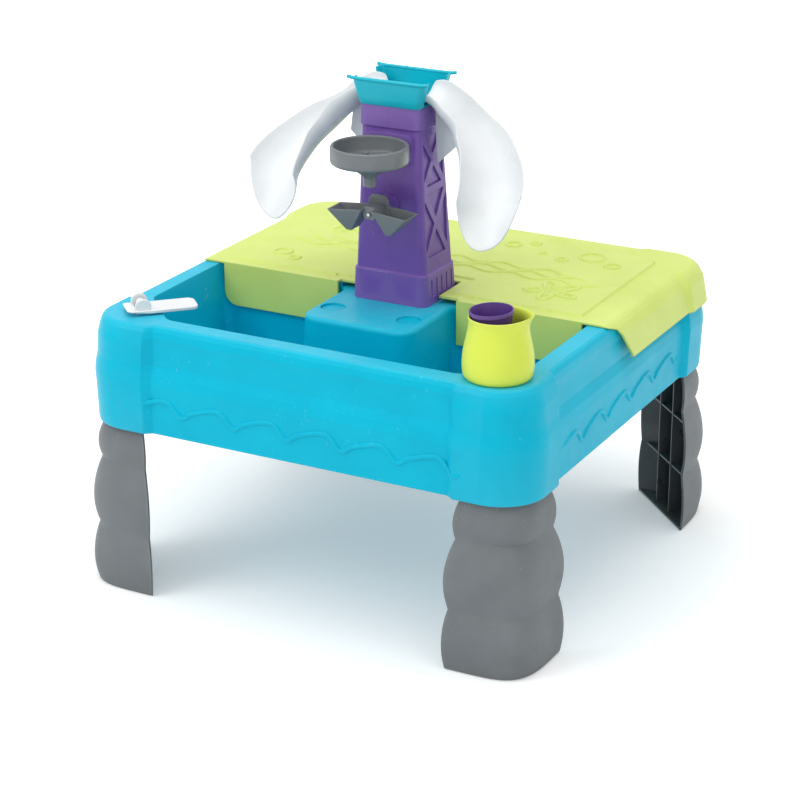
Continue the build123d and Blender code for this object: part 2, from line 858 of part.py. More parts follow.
funnel_seat = tower_front(funnel_top) - funnel_pad_thickness
funnel_y = funnel_seat - funnel_radius + funnel_wall / 2
funnel_low = funnel_top - funnel_band
spout_top = funnel_low - funnel_cone

with BuildPart() as funnel:
    with BuildSketch(Plane(origin=(0, funnel_y, 0), x_dir=(1, 0, 0), z_dir=(0, -1, 0))):
        with BuildLine():
            Polyline(
                (spout_radius, spout_top - spout_length),
                (spout_radius, spout_top),
                (spout_radius * 2.2, funnel_low - funnel_wall),
                (funnel_radius - 5, funnel_low),
                (funnel_radius, funnel_low + 5),
                (funnel_radius, funnel_top - 1),
                (funnel_radius - 1, funnel_top),
                (funnel_radius - funnel_wall, funnel_top),
                (funnel_radius - funnel_wall, funnel_low + 6),
                (funnel_radius - funnel_wall - 3, funnel_low + funnel_wall),
                (spout_radius * 2.2, funnel_low),
                (spout_radius - 2, spout_top + 1),
                (spout_radius - 2, spout_top - spout_length),
                (spout_radius, spout_top - spout_length),
            )
        make_face()
    revolve(axis=Axis((0, funnel_y, 0), (0, 0, 1)))
    # Flat back against the tower's pad
    with BuildSketch(Plane.XZ.offset(-funnel_seat)):
        Rectangle(table_width, 4 * table_width)
    extrude(amount=-table_width / 8, mode=Mode.SUBTRACT)
    with BuildSketch(Plane.XZ.offset(-funnel_seat)):
        with Locations((0, (funnel_top + funnel_low) / 2)):
            Rectangle(funnel_radius, funnel_band - 2 * funnel_wall)
    extrude(amount=funnel_wall)


# ---- tipping scoop ------------------------------------------------------------------------------

scoop_middle = (scoop_front + scoop_back) / 2
scoop_length = scoop_back - scoop_front


def scoop_solid(shrink, raised):
    """Wedge of one scoop: wide mouth above, narrow keel below, shrunk by shrink."""
    with BuildPart() as wedge:
        for level, middle, width, length in (
            (pivot_height - scoop_depth, scoop_reach / 2, scoop_reach * 0.14, scoop_length * 0.62),
            (pivot_height + hub_crest / 2 + raised, (scoop_reach + hub_radius) / 2,
             scoop_reach - hub_radius, scoop_length),
        ):
            with BuildSketch(Plane.XY.offset(level + shrink * 1.2)):
                with Locations((middle, scoop_middle)):
                    Rectangle(width - 2 * shrink * 0.9, length - 2 * shrink)
        loft(ruled=True)
    return wedge


with BuildPart() as tipping_scoop:
    add(scoop_solid(0, 0).part)
    mirror(scoop_solid(0, 0).part, about=Plane.YZ)
    with BuildSketch(Plane.XZ.offset(-scoop_back)):
        with Locations((0, pivot_height)):
            Circle(hub_radius)
            Rectangle(2 * hub_radius + 8, 2 * hub_crest, align=(Align.CENTER, Align.CENTER))
    extrude(amount=scoop_length)
    # Each wedge slopes down from the hub to its tip
    with BuildSketch(Plane.XZ.offset(-scoop_back + 1)):
        with BuildLine():
            Polyline(
                (-scoop_reach - 5, pivot_height + 1),
                (-hub_radius - 4, pivot_height + hub_crest),
                (-hub_radius - 4, pivot_height + 4 * hub_crest),
                (-scoop_reach - 5, pivot_height + 4 * hub_crest),
                (-scoop_reach - 5, pivot_height + 1),
            )
            Polyline(
                (scoop_reach + 5, pivot_height + 1),
                (hub_radius + 4, pivot_height + hub_crest),
                (hub_radius + 4, pivot_height + 4 * hub_crest),
                (scoop_reach + 5, pivot_height + 4 * hub_crest),
                (scoop_reach + 5, pivot_height + 1),
            )
        make_face()
    extrude(amount=scoop_length + 2, mode=Mode.SUBTRACT)
    with BuildPart(mode=Mode.PRIVATE) as scoop_spaces:
        add(scoop_solid(scoop_wall, 3).part)
        mirror(scoop_solid(scoop_wall, 3).part, about=Plane.YZ)
        with BuildSketch(Plane.XZ.offset(-scoop_back)):
            with Locations((0, pivot_height)):
                Rectangle(2 * hub_radius + 2, 6 * hub_crest)
        extrude(amount=scoop_length, mode=Mode.SUBTRACT)
    add(scoop_spaces.part, mode=Mode.SUBTRACT)
    with Locations((0, scoop_middle, pivot_height)):
        Cylinder(pivot_pin_radius + pivot_clearance, 2 * scoop_length, rotation=(90, 0, 0),
                 mode=Mode.SUBTRACT)

pin_back = tower_front(pivot_height) + 3 * tower_wall

with BuildPart() as scoop_pin:
    with BuildSketch(Plane.XZ.offset(-pin_back)):
        with Locations((0, pivot_height)):
            Circle(pivot_pin_radius)
    extrude(amount=pin_back - scoop_front + fit_gap)
    with BuildSketch(Plane.XZ.offset(-scoop_front + fit_gap)):
        with Locations((0, pivot_height)):
            Circle(2 * pivot_pin_radius)
    extrude(amount=pivot_pin_radius)


# ---- bucket and cup -----------------------------------------------------------------------------


def bucket_profile(shrink, lift):
    """Half section of the bucket's pot, shrunk by shrink and raised by lift."""
    with BuildSketch(Plane(origin=(bucket_x, bucket_y, rim_height), x_dir=(1, 0, 0), z_dir=(0, -1, 0))) as half:
        with BuildLine():
            Line((0, lift), (bucket_base - 4 - shrink, lift))
            Spline(
                (bucket_base - 4 - shrink, lift),
                (bucket_belly - shrink, bucket_height * 0.3),
                (bucket_neck - shrink, bucket_height * 0.68),
                (bucket_mouth - shrink, bucket_height + lift / 2),
                tangents=[(1, 0.15), (0.1, 1)],
            )
            Polyline((bucket_mouth - shrink, bucket_height + lift / 2), (0, bucket_height + lift / 2), (0, lift))
        make_face()
    return half


def lip_outline(level, shrink, reach):
    """Round mouth with a pouring lip towards the right."""
    with BuildSketch(Plane(origin=(bucket_x, bucket_y, level))) as outline:
        Circle(bucket_mouth - shrink)
        with BuildLine():
            Polyline(
                (bucket_mouth * 0.5 - shrink, bucket_mouth * 0.8 - shrink),
                (bucket_mouth + reach - shrink * 1.5, 3),
                (bucket_mouth + reach - shrink * 1.5, -3),
                (bucket_mouth * 0.5 - shrink, -bucket_mouth * 0.8 + shrink),
                (bucket_mouth * 0.5 - shrink, bucket_mouth * 0.8 - shrink),
            )
        make_face()
    return outline


with BuildPart() as bucket:
    add(bucket_profile(0, 0).sketch)
    revolve(axis=Axis((bucket_x, bucket_y, 0), (0, 0, 1)))
    add(lip_outline(rim_height + bucket_height - bucket_band, -1.2, bucket_lip).sketch)
    extrude(amount=bucket_band)
    add(bucket_profile(bucket_wall, bucket_wall).sketch)
    revolve(axis=Axis((bucket_x, bucket_y, 0), (0, 0, 1)), mode=Mode.SUBTRACT)
    add(lip_outline(rim_height + bucket_height - bucket_band + bucket_wall, bucket_wall, bucket_lip).sketch)
    extrude(amount=bucket_band, mode=Mode.SUBTRACT)

cup_floor = rim_height + bucket_wall

with BuildPart() as bucket_cup:
    with BuildSketch(Plane(origin=(cup_x, cup_y, cup_floor), x_dir=(1, 0, 0), z_dir=(0, -1, 0))):
        with BuildLine():
            Polyline(
                (0, 0),
                (cup_base, 0),
                (cup_mouth - cup_wall, cup_height - cup_rim),
                (cup_mouth, cup_height - cup_rim),
                (cup_mouth, cup_height),
                (cup_mouth - cup_wall, cup_height),
                (cup_base - cup_wall, cup_wall),
                (0, cup_wall),
                (0, 0),
            )
        make_face()
    revolve(axis=Axis((cup_x, cup_y, 0), (0, 0, 1)))


# ---- flip launcher ------------------------------------------------------------------------------

launcher_pivot = rim_height + launcher_base_plate + launcher_rise
launcher_plane = Plane(origin=(launcher_x, launcher_y, rim_height), x_dir=(1, 1, 0), z_dir=(0, 0, 1))
launcher_side = Plane(origin=(launcher_x, launcher_y, launcher_pivot), x_dir=(1, 1, 0), z_dir=(1, -1, 0))
barrel_half = launcher_width / 2 - launcher_ear

with BuildPart() as launcher_base:
    with BuildSketch(launcher_plane):
        with Locations((launcher_base_shift, 0)):
            RectangleRounded(launcher_base_length, launcher_width + 2, 6)
    extrude(amount=launcher_base_plate)
    for side in (-1, 1):
        with BuildSketch(launcher_side.offset(side * (barrel_half + launcher_ear / 2 + fit_gap))):
            Circle(launcher_ear_radius)
            with Locations((0, 0)):
                Rectangle(2 * launcher_ear_radius, launcher_rise, align=(Align.CENTER, Align.MAX))
            Circle(launcher_pin_radius, mode=Mode.SUBTRACT)
        extrude(amount=launcher_ear / 2, both=True)

with BuildPart() as launcher_arm:
    with BuildSketch(launcher_side):
        Circle(launcher_barrel)
    extrude(amount=barrel_half, both=True)
    with BuildSketch(launcher_side):
        with Locations(((launcher_inner - launcher_outer) / 2, 0)):
            Rectangle(launcher_inner + launcher_outer, launcher_plate)
    extrude(amount=barrel_half, both=True)
    # Wide paddle over the water, clear of the ears
    with BuildSketch(launcher_plane.offset(launcher_pivot - rim_height - launcher_plate / 2)) as paddle:
        with Locations((launcher_ear_radius + fit_gap + 1, 0)):
            Rectangle(launcher_inner - launcher_ear_radius - fit_gap - 1, launcher_width,
                      align=(Align.MIN, Align.CENTER))
        fillet(paddle.vertices().group_by(Axis((0, 0, 0), (1, 1, 0)))[-1], 12)
    extrude(amount=launcher_plate)
    # Foot that rests on the base
    with BuildSketch(launcher_side):
        with Locations((launcher_ear_radius + 3, -launcher_rise)):
            Rectangle(4, launcher_rise, align=(Align.CENTER, Align.MIN))
    extrude(amount=barrel_half - 4, both=True)
    with BuildSketch(launcher_side):
        Circle(launcher_pin_radius + pivot_clearance)
    extrude(amount=launcher_width, both=True, mode=Mode.SUBTRACT)

with BuildPart() as launcher_pin:
    with BuildSketch(launcher_side):
        Circle(launcher_pin_radius)
    extrude(amount=barrel_half + launcher_ear + fit_gap, both=True)


# ---- drain plug and screws ----------------------------------------------------------------------

with BuildPart() as drain_plug:
    with Locations((drain_x, drain_y, floor_height)):
        Cylinder(plug_head, wall, align=(Align.CENTER, Align.CENTER, Align.MIN))
        Cylinder(drain_radius - fit_gap, wall + 4, align=(Align.CENTER, Align.CENTER, Align.MAX))
    with Locations((drain_x, drain_y, floor_height + wall)):
        Cylinder(plug_head * 0.6, wall, rotation=(90, 0, 0))
        Cylinder(plug_head * 0.35, 2 * wall, rotation=(90, 0, 0), mode=Mode.SUBTRACT)
    with BuildSketch(Plane.XY.offset(floor_height)):
        with Locations((drain_x, drain_y)):
            Circle(plug_head)
    extrude(amount=wall)


def screw_group(places, seat):
    """Pan-head screws driven upwards, heads below the seat level."""
    with BuildPart() as group:
        with Locations(*[(x, y, seat) for x, y in places]):
            Cylinder(screw_radius, screw_length, align=(Align.CENTER, Align.CENTER, Align.MIN))
            Cylinder(screw_head_radius, screw_head_height, align=(Align.CENTER, Align.CENTER, Align.MAX))
    return group


leg_screws = screw_group(leg_screw_places, leg_top - leg_wall)
tower_screws = screw_group(tower_screw_places, ledge_height - wall)

for piece, label in (
    (basin, "basin"),
    (lid, "lid"),
    (leg_back_right, "leg_back_right"),
    (leg_back_left, "leg_back_left"),
    (leg_front_right, "leg_front_right"),
    (leg_front_left, "leg_front_left"),
    (leg_screws, "leg_screws"),
    (tower_left_shell, "tower_left_shell"),
    (tower_right_shell, "tower_right_shell"),
    (tower_screws, "tower_screws"),
    (hopper, "hopper"),
    (slide_right, "slide_right"),
    (slide_left, "slide_left"),
    (funnel, "funnel"),
    (tipping_scoop, "tipping_scoop"),
    (scoop_pin, "scoop_pin"),
    (bucket, "bucket"),
    (bucket_cup, "bucket_cup"),
    (launcher_base, "launcher_base"),
    (launcher_arm, "launcher_arm"),
    (launcher_pin, "launcher_pin"),
    (drain_plug, "drain_plug"),
):
    piece.part.label = label
    export_step(piece.part, f"parts/{label}.step")
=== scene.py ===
import math

import bmesh
import bpy
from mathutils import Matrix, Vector
from mathutils.bvhtree import BVHTree


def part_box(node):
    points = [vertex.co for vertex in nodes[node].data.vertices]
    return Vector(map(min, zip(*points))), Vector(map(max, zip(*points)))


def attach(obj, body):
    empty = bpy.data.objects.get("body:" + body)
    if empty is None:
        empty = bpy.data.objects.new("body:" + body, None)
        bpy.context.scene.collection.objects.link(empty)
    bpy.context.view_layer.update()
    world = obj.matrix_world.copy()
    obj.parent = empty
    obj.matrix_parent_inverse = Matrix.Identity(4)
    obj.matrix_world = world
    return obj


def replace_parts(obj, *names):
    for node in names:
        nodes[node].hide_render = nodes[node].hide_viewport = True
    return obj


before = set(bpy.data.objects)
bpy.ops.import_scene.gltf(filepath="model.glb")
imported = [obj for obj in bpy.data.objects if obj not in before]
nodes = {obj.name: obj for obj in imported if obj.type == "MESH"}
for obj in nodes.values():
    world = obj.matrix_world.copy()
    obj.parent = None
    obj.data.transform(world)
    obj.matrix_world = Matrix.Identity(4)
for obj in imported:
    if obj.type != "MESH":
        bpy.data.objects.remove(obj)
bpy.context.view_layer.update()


# ---- Basin: one hollow tub of blow-moulded polyethylene, with a water side at the front, a sand
# side at the back and a raised ledge for the tower. The mould leaves a fine grain, soft edges and
# a slightly waxy satin surface; sand and dried splashes dull the faces that look up.

def linear(colour):
    """An sRGB hex colour as linear RGBA."""
    channels = [int(colour[i:i + 2], 16) / 255 for i in (1, 3, 5)]
    straight = [c / 12.92 if c <= 0.04045 else ((c + 0.055) / 1.055) ** 2.4 for c in channels]
    return (*straight, 1.0)


def put(tree, kind, settings=None, **links):
    """Adds a node with its settings; each link is a socket, by name (spaces as _) or as i and its
    number, with the output or the value that goes into it."""
    new = tree.nodes.new(kind)
    for key, value in (settings or {}).items():
        setattr(new, key, value)
    for key, value in links.items():
        numbered = key[0] == "i" and key[1:].isdigit()
        socket = new.inputs[int(key[1:]) if numbered else key.replace("_", " ")]
        if isinstance(value, bpy.types.NodeSocket):
            tree.links.new(value, socket)
        else:
            socket.default_value = value
    return new


def moulded_plastic(name, colour, shade, roughness, grain_mm, grain_depth_mm, dust, edge_mm,
                    gloss_level=0.3):
    """Moulded thermoplastic: even colour with faint flow mottling, a fine mould grain, edges
    rounded by the mould, pale scuffs, edges painted pale as wear and as a painted highlight, and dust on the
    faces that look up."""
    material = bpy.data.materials.new(name)
    material.use_nodes = True
    tree = material.node_tree
    tree.nodes.clear()
    place = put(tree, "ShaderNodeTexCoord").outputs["Object"]
    # Colour drifts a little where the plastic flowed and cooled at different speeds
    flow = put(tree, "ShaderNodeTexNoise", Vector=place, Scale=1000 / 85, Detail=3.0, Roughness=0.55)
    drift = put(tree, "ShaderNodeMapRange", Value=flow.outputs["Fac"], From_Min=0.3, From_Max=0.7)
    base = put(tree, "ShaderNodeMix", {"data_type": "RGBA"}, Factor=drift.outputs["Result"],
               i6=linear(shade), i7=linear(colour))
    # Scuffs: short pale scratches a few millimetres long, denser where hands reach
    stretch = put(tree, "ShaderNodeMapping", Vector=place, Scale=(1.0, 0.22, 0.6), Rotation=(0.3, 0.5, 0.9))
    scratch = put(tree, "ShaderNodeTexNoise", Vector=stretch.outputs["Vector"], Scale=1000 / 3.5, Detail=2.0,
                  Roughness=0.4)
    patch = put(tree, "ShaderNodeTexNoise", Vector=place, Scale=1000 / 60, Detail=2.0)
    thin = put(tree, "ShaderNodeMapRange", Value=scratch.outputs["Fac"], From_Min=0.66, From_Max=0.74)
    where = put(tree, "ShaderNodeMapRange", Value=patch.outputs["Fac"], From_Min=0.5, From_Max=0.68)
    scuff = put(tree, "ShaderNodeMath", {"operation": "MULTIPLY"}, i0=thin.outputs["Result"],
                i1=where.outputs["Result"])
    # Edges are painted pale: partly colour worn pale, partly a painted highlight where they catch the light
    geometry = put(tree, "ShaderNodeNewGeometry")
    edge = put(tree, "ShaderNodeMapRange", Value=geometry.outputs["Pointiness"], From_Min=0.515, From_Max=0.58,
               To_Max=0.35)
    wear_and_edge_highlight = put(tree, "ShaderNodeMath", {"operation": "MAXIMUM", "use_clamp": True}, i0=scuff.outputs[0],
               i1=edge.outputs["Result"])
    amount = put(tree, "ShaderNodeMath", {"operation": "MULTIPLY"}, i0=wear_and_edge_highlight.outputs[0], i1=0.1)
    # Scuffs, worn edges and the painted edge highlight all mix towards near white here
    pale = put(tree, "ShaderNodeMix", {"data_type": "RGBA"}, Factor=amount.outputs[0], i6=base.outputs[2],
               i7=linear("#f4f4f0"))
    # Dust and dried splashes on faces that look up
    up = put(tree, "ShaderNodeSeparateXYZ", Vector=geometry.outputs["Normal"])
    lying = put(tree, "ShaderNodeMapRange", Value=up.outputs["Z"], From_Min=0.6, From_Max=1.0)
    speck = put(tree, "ShaderNodeTexNoise", Vector=place, Scale=1000 / 12, Detail=5.0, Roughness=0.7)
    settle = put(tree, "ShaderNodeMapRange", Value=speck.outputs["Fac"], From_Min=0.5, From_Max=0.75,
                 To_Max=dust)
    film = put(tree, "ShaderNodeMath", {"operation": "MULTIPLY"}, i0=lying.outputs["Result"],
               i1=settle.outputs["Result"])
    dusty = put(tree, "ShaderNodeMix", {"data_type": "RGBA"}, Factor=film.outputs[0], i6=pale.outputs[2],
                i7=linear("#cfc6b2"))
    # Roughness: satin, mottled, higher on scuffs
    rough_patch = put(tree, "ShaderNodeTexNoise", Vector=place, Scale=1000 / 30, Detail=4.0, Roughness=0.6)
    gloss = put(tree, "ShaderNodeMapRange", Value=rough_patch.outputs["Fac"], From_Min=0.25, From_Max=0.75,
                To_Min=roughness - 0.05, To_Max=roughness + 0.07)
    matt = put(tree, "ShaderNodeMath", {"operation": "MULTIPLY_ADD", "use_clamp": True},
               i0=scuff.outputs[0], i1=0.15, i2=gloss.outputs["Result"])
    # Mould grain, drawn a little coarser than the real one so that it shows
    grain = put(tree, "ShaderNodeTexVoronoi", Vector=place, Scale=1000 / grain_mm)
    fine = put(tree, "ShaderNodeTexNoise", Vector=place, Scale=1000 / (grain_mm * 0.7), Detail=2.0)
    relief = put(tree, "ShaderNodeMath", {"operation": "ADD"}, i0=grain.outputs["Distance"],
                 i1=fine.outputs["Fac"])
    soft_edge = put(tree, "ShaderNodeBevel", {"samples": 4}, Radius=edge_mm / 1000)
    sag = put(tree, "ShaderNodeTexNoise", Vector=place, Scale=1000 / 110, Detail=1.0)
    sink = put(tree, "ShaderNodeBump", Height=sag.outputs["Fac"], Strength=0.25, Distance=0.0012,
               Normal=soft_edge.outputs["Normal"])
    bump = put(tree, "ShaderNodeBump", Height=relief.outputs[0], Strength=0.5, Distance=grain_depth_mm / 1000,
               Normal=sink.outputs["Normal"])
    shader = put(tree, "ShaderNodeBsdfPrincipled", Base_Color=dusty.outputs[2], Roughness=matt.outputs[0],
                 Normal=bump.outputs["Normal"], IOR=1.5, Specular_IOR_Level=gloss_level)
    put(tree, "ShaderNodeOutputMaterial", Surface=shader.outputs["BSDF"])
    return material


def dress(material, *names):
    """Gives CAD pieces their material, with smooth shading across their rounded faces."""
    for name in names:
        piece = nodes[name]
        piece.data.materials.clear()
        piece.data.materials.append(material)
        piece.data.polygons.foreach_set("material_index", [0] * len(piece.data.polygons))
        smooth = piece.modifiers.new("smooth_faces", "EDGE_SPLIT")
        smooth.split_angle = math.radians(32)
        piece.data.polygons.foreach_set("use_smooth", [True] * len(piece.data.polygons))


def placed(name, data):
    """A new object in the scene, made of that data."""
    piece = bpy.data.objects.new(name, data)
    bpy.context.scene.collection.objects.link(piece)
    return piece


def moulded_piece(name, body, material, points, faces, sharp=38):
    """A moulded piece from points in millimetres, smooth except along edges sharper than sharp."""
    skin = bpy.data.meshes.new(name)
    skin.from_pydata([(x / 1000, y / 1000, z / 1000) for x, y, z in points], [], faces)
    work = bmesh.new()
    work.from_mesh(skin)
    bmesh.ops.remove_doubles(work, verts=work.verts, dist=0.00001)
    bmesh.ops.recalc_face_normals(work, faces=work.faces)
    for face in work.faces:
        face.smooth = True
    for edge in work.edges:
        edge.smooth = not edge.is_manifold or edge.calc_face_angle(0.0) < math.radians(sharp)
    work.to_mesh(skin)
    work.free()
    piece = placed(name, skin)
    skin.materials.append(material)
    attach(piece, body)
    return piece


def ring_ends(start, rings, steps):
    """Faces that close the first and the last of some rings of points."""
    return [tuple(range(start + steps - 1, start - 1, -1)),
            tuple(range(start + (rings - 1) * steps, start + rings * steps))]


def ring_sides(start, rings, steps):
    """Faces between some rings of points, each to the next."""
    sides = []
    for row in range(start, start + (rings - 1) * steps, steps):
        for step in range(steps):
            after = (step + 1) % steps
            sides.append((row + step, row + after, row + steps + after, row + steps + step))
    return sides


def soften_edges(piece, width_mm, segments, angle=30):
    """Rounds the edges of a piece that turn by more than an angle."""
    soft = piece.modifiers.new("moulded_edges", "BEVEL")
    soft.width = width_mm / 1000
    soft.segments = segments
    soft.limit_method = "ANGLE"
    soft.angle_limit = math.radians(angle)
    return soft


basin_polyethylene = moulded_plastic("blow_moulded_polyethylene_blue", "#00bad8", "#00b2d1", 0.38, 1.1, 0.09,
                                     0.06, 2.0, 0.13)
dress(basin_polyethylene, "basin")

# A raised wave line is moulded into the lower half of each side panel
basin_shape = BVHTree.FromObject(nodes["basin"], bpy.context.evaluated_depsgraph_get())
wave_level = 326.0
wave_rise = 12.5
wave_pitch = 95.0
wave_half_width = 4.2
wave_proud = 3.2
wave_sunk = 0.15
wave_steps = 8
# Metres from the table's middle, outside every panel
wave_ray_from = 0.5


def wave_line(name, half_length, toward, across):
    """A raised bead in a wave along one side panel, pressed into the panel's own surface."""
    # One crest: share of the pitch, and height as a share of the rise
    shape = [(0.0, -0.1), (0.14, 0.25), (0.3, 0.66), (0.42, 0.86), (0.52, 0.98), (0.6, 0.9), (0.68, 0.45),
             (0.75, -0.3), (0.82, -0.86), (0.89, -0.92), (0.95, -0.55)]
    crests = int(2 * half_length / wave_pitch)
    line = []
    for crest in range(crests):
        for share, rise in shape:
            line.append((-crests * wave_pitch / 2 + (crest + share) * wave_pitch,
                         wave_level + rise * wave_rise))
    line.append((crests * wave_pitch / 2, wave_level - 0.1 * wave_rise))
    points, faces = [], []
    for number, (along, level) in enumerate(line):
        before, after = line[max(number - 1, 0)], line[min(number + 1, len(line) - 1)]
        run = Vector((after[0] - before[0], after[1] - before[1])).normalized()
        # The bead fades in and out at its two ends
        full = min(1.0, number / 2.5, (len(line) - 1 - number) / 2.5)
        for swing in range(wave_steps + 1):
            turn = math.radians(-90 + 180 * swing / wave_steps)
            offset = wave_half_width * math.sin(turn)
            at = along - run.y * offset
            high = level + run.x * offset
            start = toward * wave_ray_from + across * (at / 1000) + Vector((0, 0, high / 1000))
            hit = basin_shape.ray_cast(start, -toward)[0]
            bulge = (wave_proud * math.cos(turn) * full - wave_sunk) / 1000
            points.append([value * 1000 for value in hit + toward * bulge])
    for number in range(len(line) - 1):
        for swing in range(wave_steps):
            corner = number * (wave_steps + 1) + swing
            faces.append((corner, corner + 1, corner + wave_steps + 2, corner + wave_steps + 1))
    bead = moulded_piece(name, "table", basin_polyethylene, points, faces, 75)
    rounding = bead.modifiers.new("soft_line", "SUBSURF")
    rounding.levels = rounding.render_levels = 1


wave_line("wave_line_front", 288.0, Vector((0, -1, 0)), Vector((1, 0, 0)))
wave_line("wave_line_back", 288.0, Vector((0, 1, 0)), Vector((-1, 0, 0)))
wave_line("wave_line_right", 245.0, Vector((1, 0, 0)), Vector((0, 1, 0)))
wave_line("wave_line_left", 245.0, Vector((-1, 0, 0)), Vector((0, -1, 0)))


# ---- Drain plug: soft grey thermoplastic, pushed into the water side's floor and pulled out by a
# small loop on its head.

plug_rubber = moulded_plastic("moulded_plug_grey", "#8a8d8f", "#7d8183", 0.5, 0.9, 0.05, 0.15, 0.8)
dress(plug_rubber, "drain_plug")


# ---- Legs: four blow-moulded polyethylene columns of three stacked bulges, each a rounded corner
# with its ribbed inner side left open, pushed up into the basin and screwed there. Dark grey, with
# the coarser grain and the soft sinks of a thick blown wall.

leg_corner = (276.0, 264.5)
leg_reach = 108.0
leg_thickness = 4.0
leg_height = 330.0
leg_web_side = 26.0
leg_web_half = 1.5
diagonal = 0.7071
leg_waist = 214.0
# Bulges from the floor up: lower and upper level, swell at each, and how far the middle stands out
leg_bulges = [(-30.0, 101.0, 3.5, 8.0, 10.0), (101.0, leg_waist, 8.0, 0.5, 9.5),
              (leg_waist, 277.0, 0.5, -4.0, 5.5)]
# Power of the corner's curve in plan, and what it loses up to the top; then swell and power at the top
leg_square = 3.7
leg_square_loss = 0.4
leg_top = (-4.0, 3.3)


def leg_swell(level):
    """Swell of the leg at a level, and how square its corner is there."""
    for low, high, first, last, rise in leg_bulges:
        if level <= high:
            share = (level - low) / (high - low)
            arch = max(math.sin(math.pi * share), 0.0) ** 0.8
            square = leg_square if level < leg_waist else leg_square - leg_square_loss * share
            return first + (last - first) * share + rise * arch, square + 0.7 * arch
    return leg_top


def leg_point(level, turn, depth):
    """Point of the leg's wall at a level and a turn in degrees, depth inside its outer face."""
    swell, square = leg_swell(level)
    drape = 1.5 * math.sin(math.radians(3.1 * turn) + level * 0.034) * math.sin(math.radians(2 * turn)) ** 2
    reach = leg_reach + swell - depth - max(drape, 0)
    across, along = math.cos(math.radians(turn)), math.sin(math.radians(turn))
    length = reach / (abs(across) ** square + abs(along) ** square) ** (1 / square)
    return length * across, length * along


def leg_ring(level, depth, steps=44):
    """Open ring of points round the leg's corner at a level, from one end of the wall to the other."""
    swell = leg_swell(level)[0]
    beyond = math.degrees(math.atan2(swell, leg_reach + swell))
    turns = [-beyond + (90 + 2 * beyond) * step / steps for step in range(steps + 1)]
    return [(*leg_point(level, turn, depth), level) for turn in turns]


def leg_wall_meets(level, side):
    """How far out along the diagonal a web at that side of it meets the middle of the wall."""
    swell, square = leg_swell(level)
    near, far = 0.0, 2 * leg_reach
    for halving in range(24):
        out = (near + far) / 2
        across, along = (out + side) * diagonal, (out - side) * diagonal
        if abs(across) ** square + abs(along) ** square < (leg_reach + swell - leg_thickness / 2) ** square:
            near = out
        else:
            far = out
    return near


leg_vertices, leg_faces = [], []


def leg_sheet(rows):
    """Adds a sheet of quads through rows of points."""
    start, wide = len(leg_vertices), len(rows[0])
    leg_vertices.extend(point for row in rows for point in row)
    for row in range(len(rows) - 1):
        for step in range(wide - 1):
            corner = start + row * wide + step
            leg_faces.append((corner, corner + 1, corner + wide + 1, corner + wide))


def leg_plate(outline, low, high):
    """Adds a flat plate with that outline between two levels."""
    start, count = len(leg_vertices), len(outline)
    leg_vertices.extend((x, y, z) for z in (low, high) for x, y in outline)
    leg_faces.extend(ring_ends(start, 2, count) + ring_sides(start, 2, count))


# The wall is one closed skin: outside, top edge, inside and bottom edge
levels = [0.0, 1.0, 3.0, 6.0, *[10.0 + 6.4 * step for step in range(50)], leg_height]
outside = [leg_ring(level, 2.5 if level == 0 else 0.8 if level == 1.0 else 0.0) for level in levels]
inside = [leg_ring(level, leg_thickness) for level in levels]
leg_sheet(outside)
outer_faces = len(leg_faces)
leg_sheet([list(reversed(row)) for row in inside])
leg_sheet([inside[0], outside[0]])
leg_sheet([outside[-1], inside[-1]])
leg_sheet([[outer[0] for outer in outside], [inner[0] for inner in inside]][::-1])
leg_sheet([[outer[-1] for outer in outside], [inner[-1] for inner in inside]])
# Floor, three shelves and top, then two upright webs
for low, high, setback in ((0.0, 4.0, 0.0), (94.0, 97.0, 6.0), (188.0, 191.0, 6.0), (282.0, 285.0, 6.0),
                           (326.0, 330.0, 0.0)):
    ring = [point[:2] for point in leg_ring((low + high) / 2, 2.0 if low else 3.0)]
    if setback:
        ring = [(x, y) for x, y in ring if x + y > leg_reach + setback]
    leg_plate(ring, low, high)
leg_web_edge = leg_reach * diagonal + 4.0
for side in (-leg_web_side, leg_web_side):
    for face in (-leg_web_half, leg_web_half):
        rows = []
        for level in levels[3:-1]:
            out = leg_wall_meets(level, side + face)
            rows.append([((reach + side + face) * diagonal, (reach - side - face) * diagonal, level)
                         for reach in (leg_web_edge, out)])
        leg_sheet(rows if face > 0 else [list(reversed(row)) for row in rows])
    leg_sheet([[((leg_web_edge + side + face) * diagonal, (leg_web_edge - side - face) * diagonal, level)
                for face in (-leg_web_half, leg_web_half)] for level in levels[3:-1]])


def leg_piece(name, flip_x, flip_y):
    """One leg, turned into its own corner of the table."""
    points = [((leg_corner[0] + x) * flip_x, (leg_corner[1] + y) * flip_y, z) for x, y, z in leg_vertices]
    piece = moulded_piece(name, "table", leg_polyethylene, points, leg_faces, 40)
    # The faces inside the wall get the grey painted darker, as painted shade
    piece.data.materials.append(leg_inner_painted_shade)
    for number, face in enumerate(piece.data.polygons):
        face.material_index = 0 if number < outer_faces else 1
    return piece


leg_polyethylene = moulded_plastic("blow_moulded_polyethylene_grey", "#757a7d", "#6b7073", 0.5, 1.3, 0.12,
                                   0.1, 2.0)
# The inner face is the same grey plastic, painted darker as shade where it lies out of the light; it never
# touched the mould, so it is shinier
leg_inner_painted_shade = moulded_plastic("inner_face_painted_shade_grey", "#4b4f51", "#424648", 0.3, 2.2, 0.08, 0.12, 1.0, 0.5)
for name, flip_x, flip_y in (("back_right", 1, 1), ("back_left", -1, 1), ("front_right", 1, -1),
                             ("front_left", -1, -1)):
    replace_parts(leg_piece("moulded_leg_" + name, flip_x, flip_y), "leg_" + name)

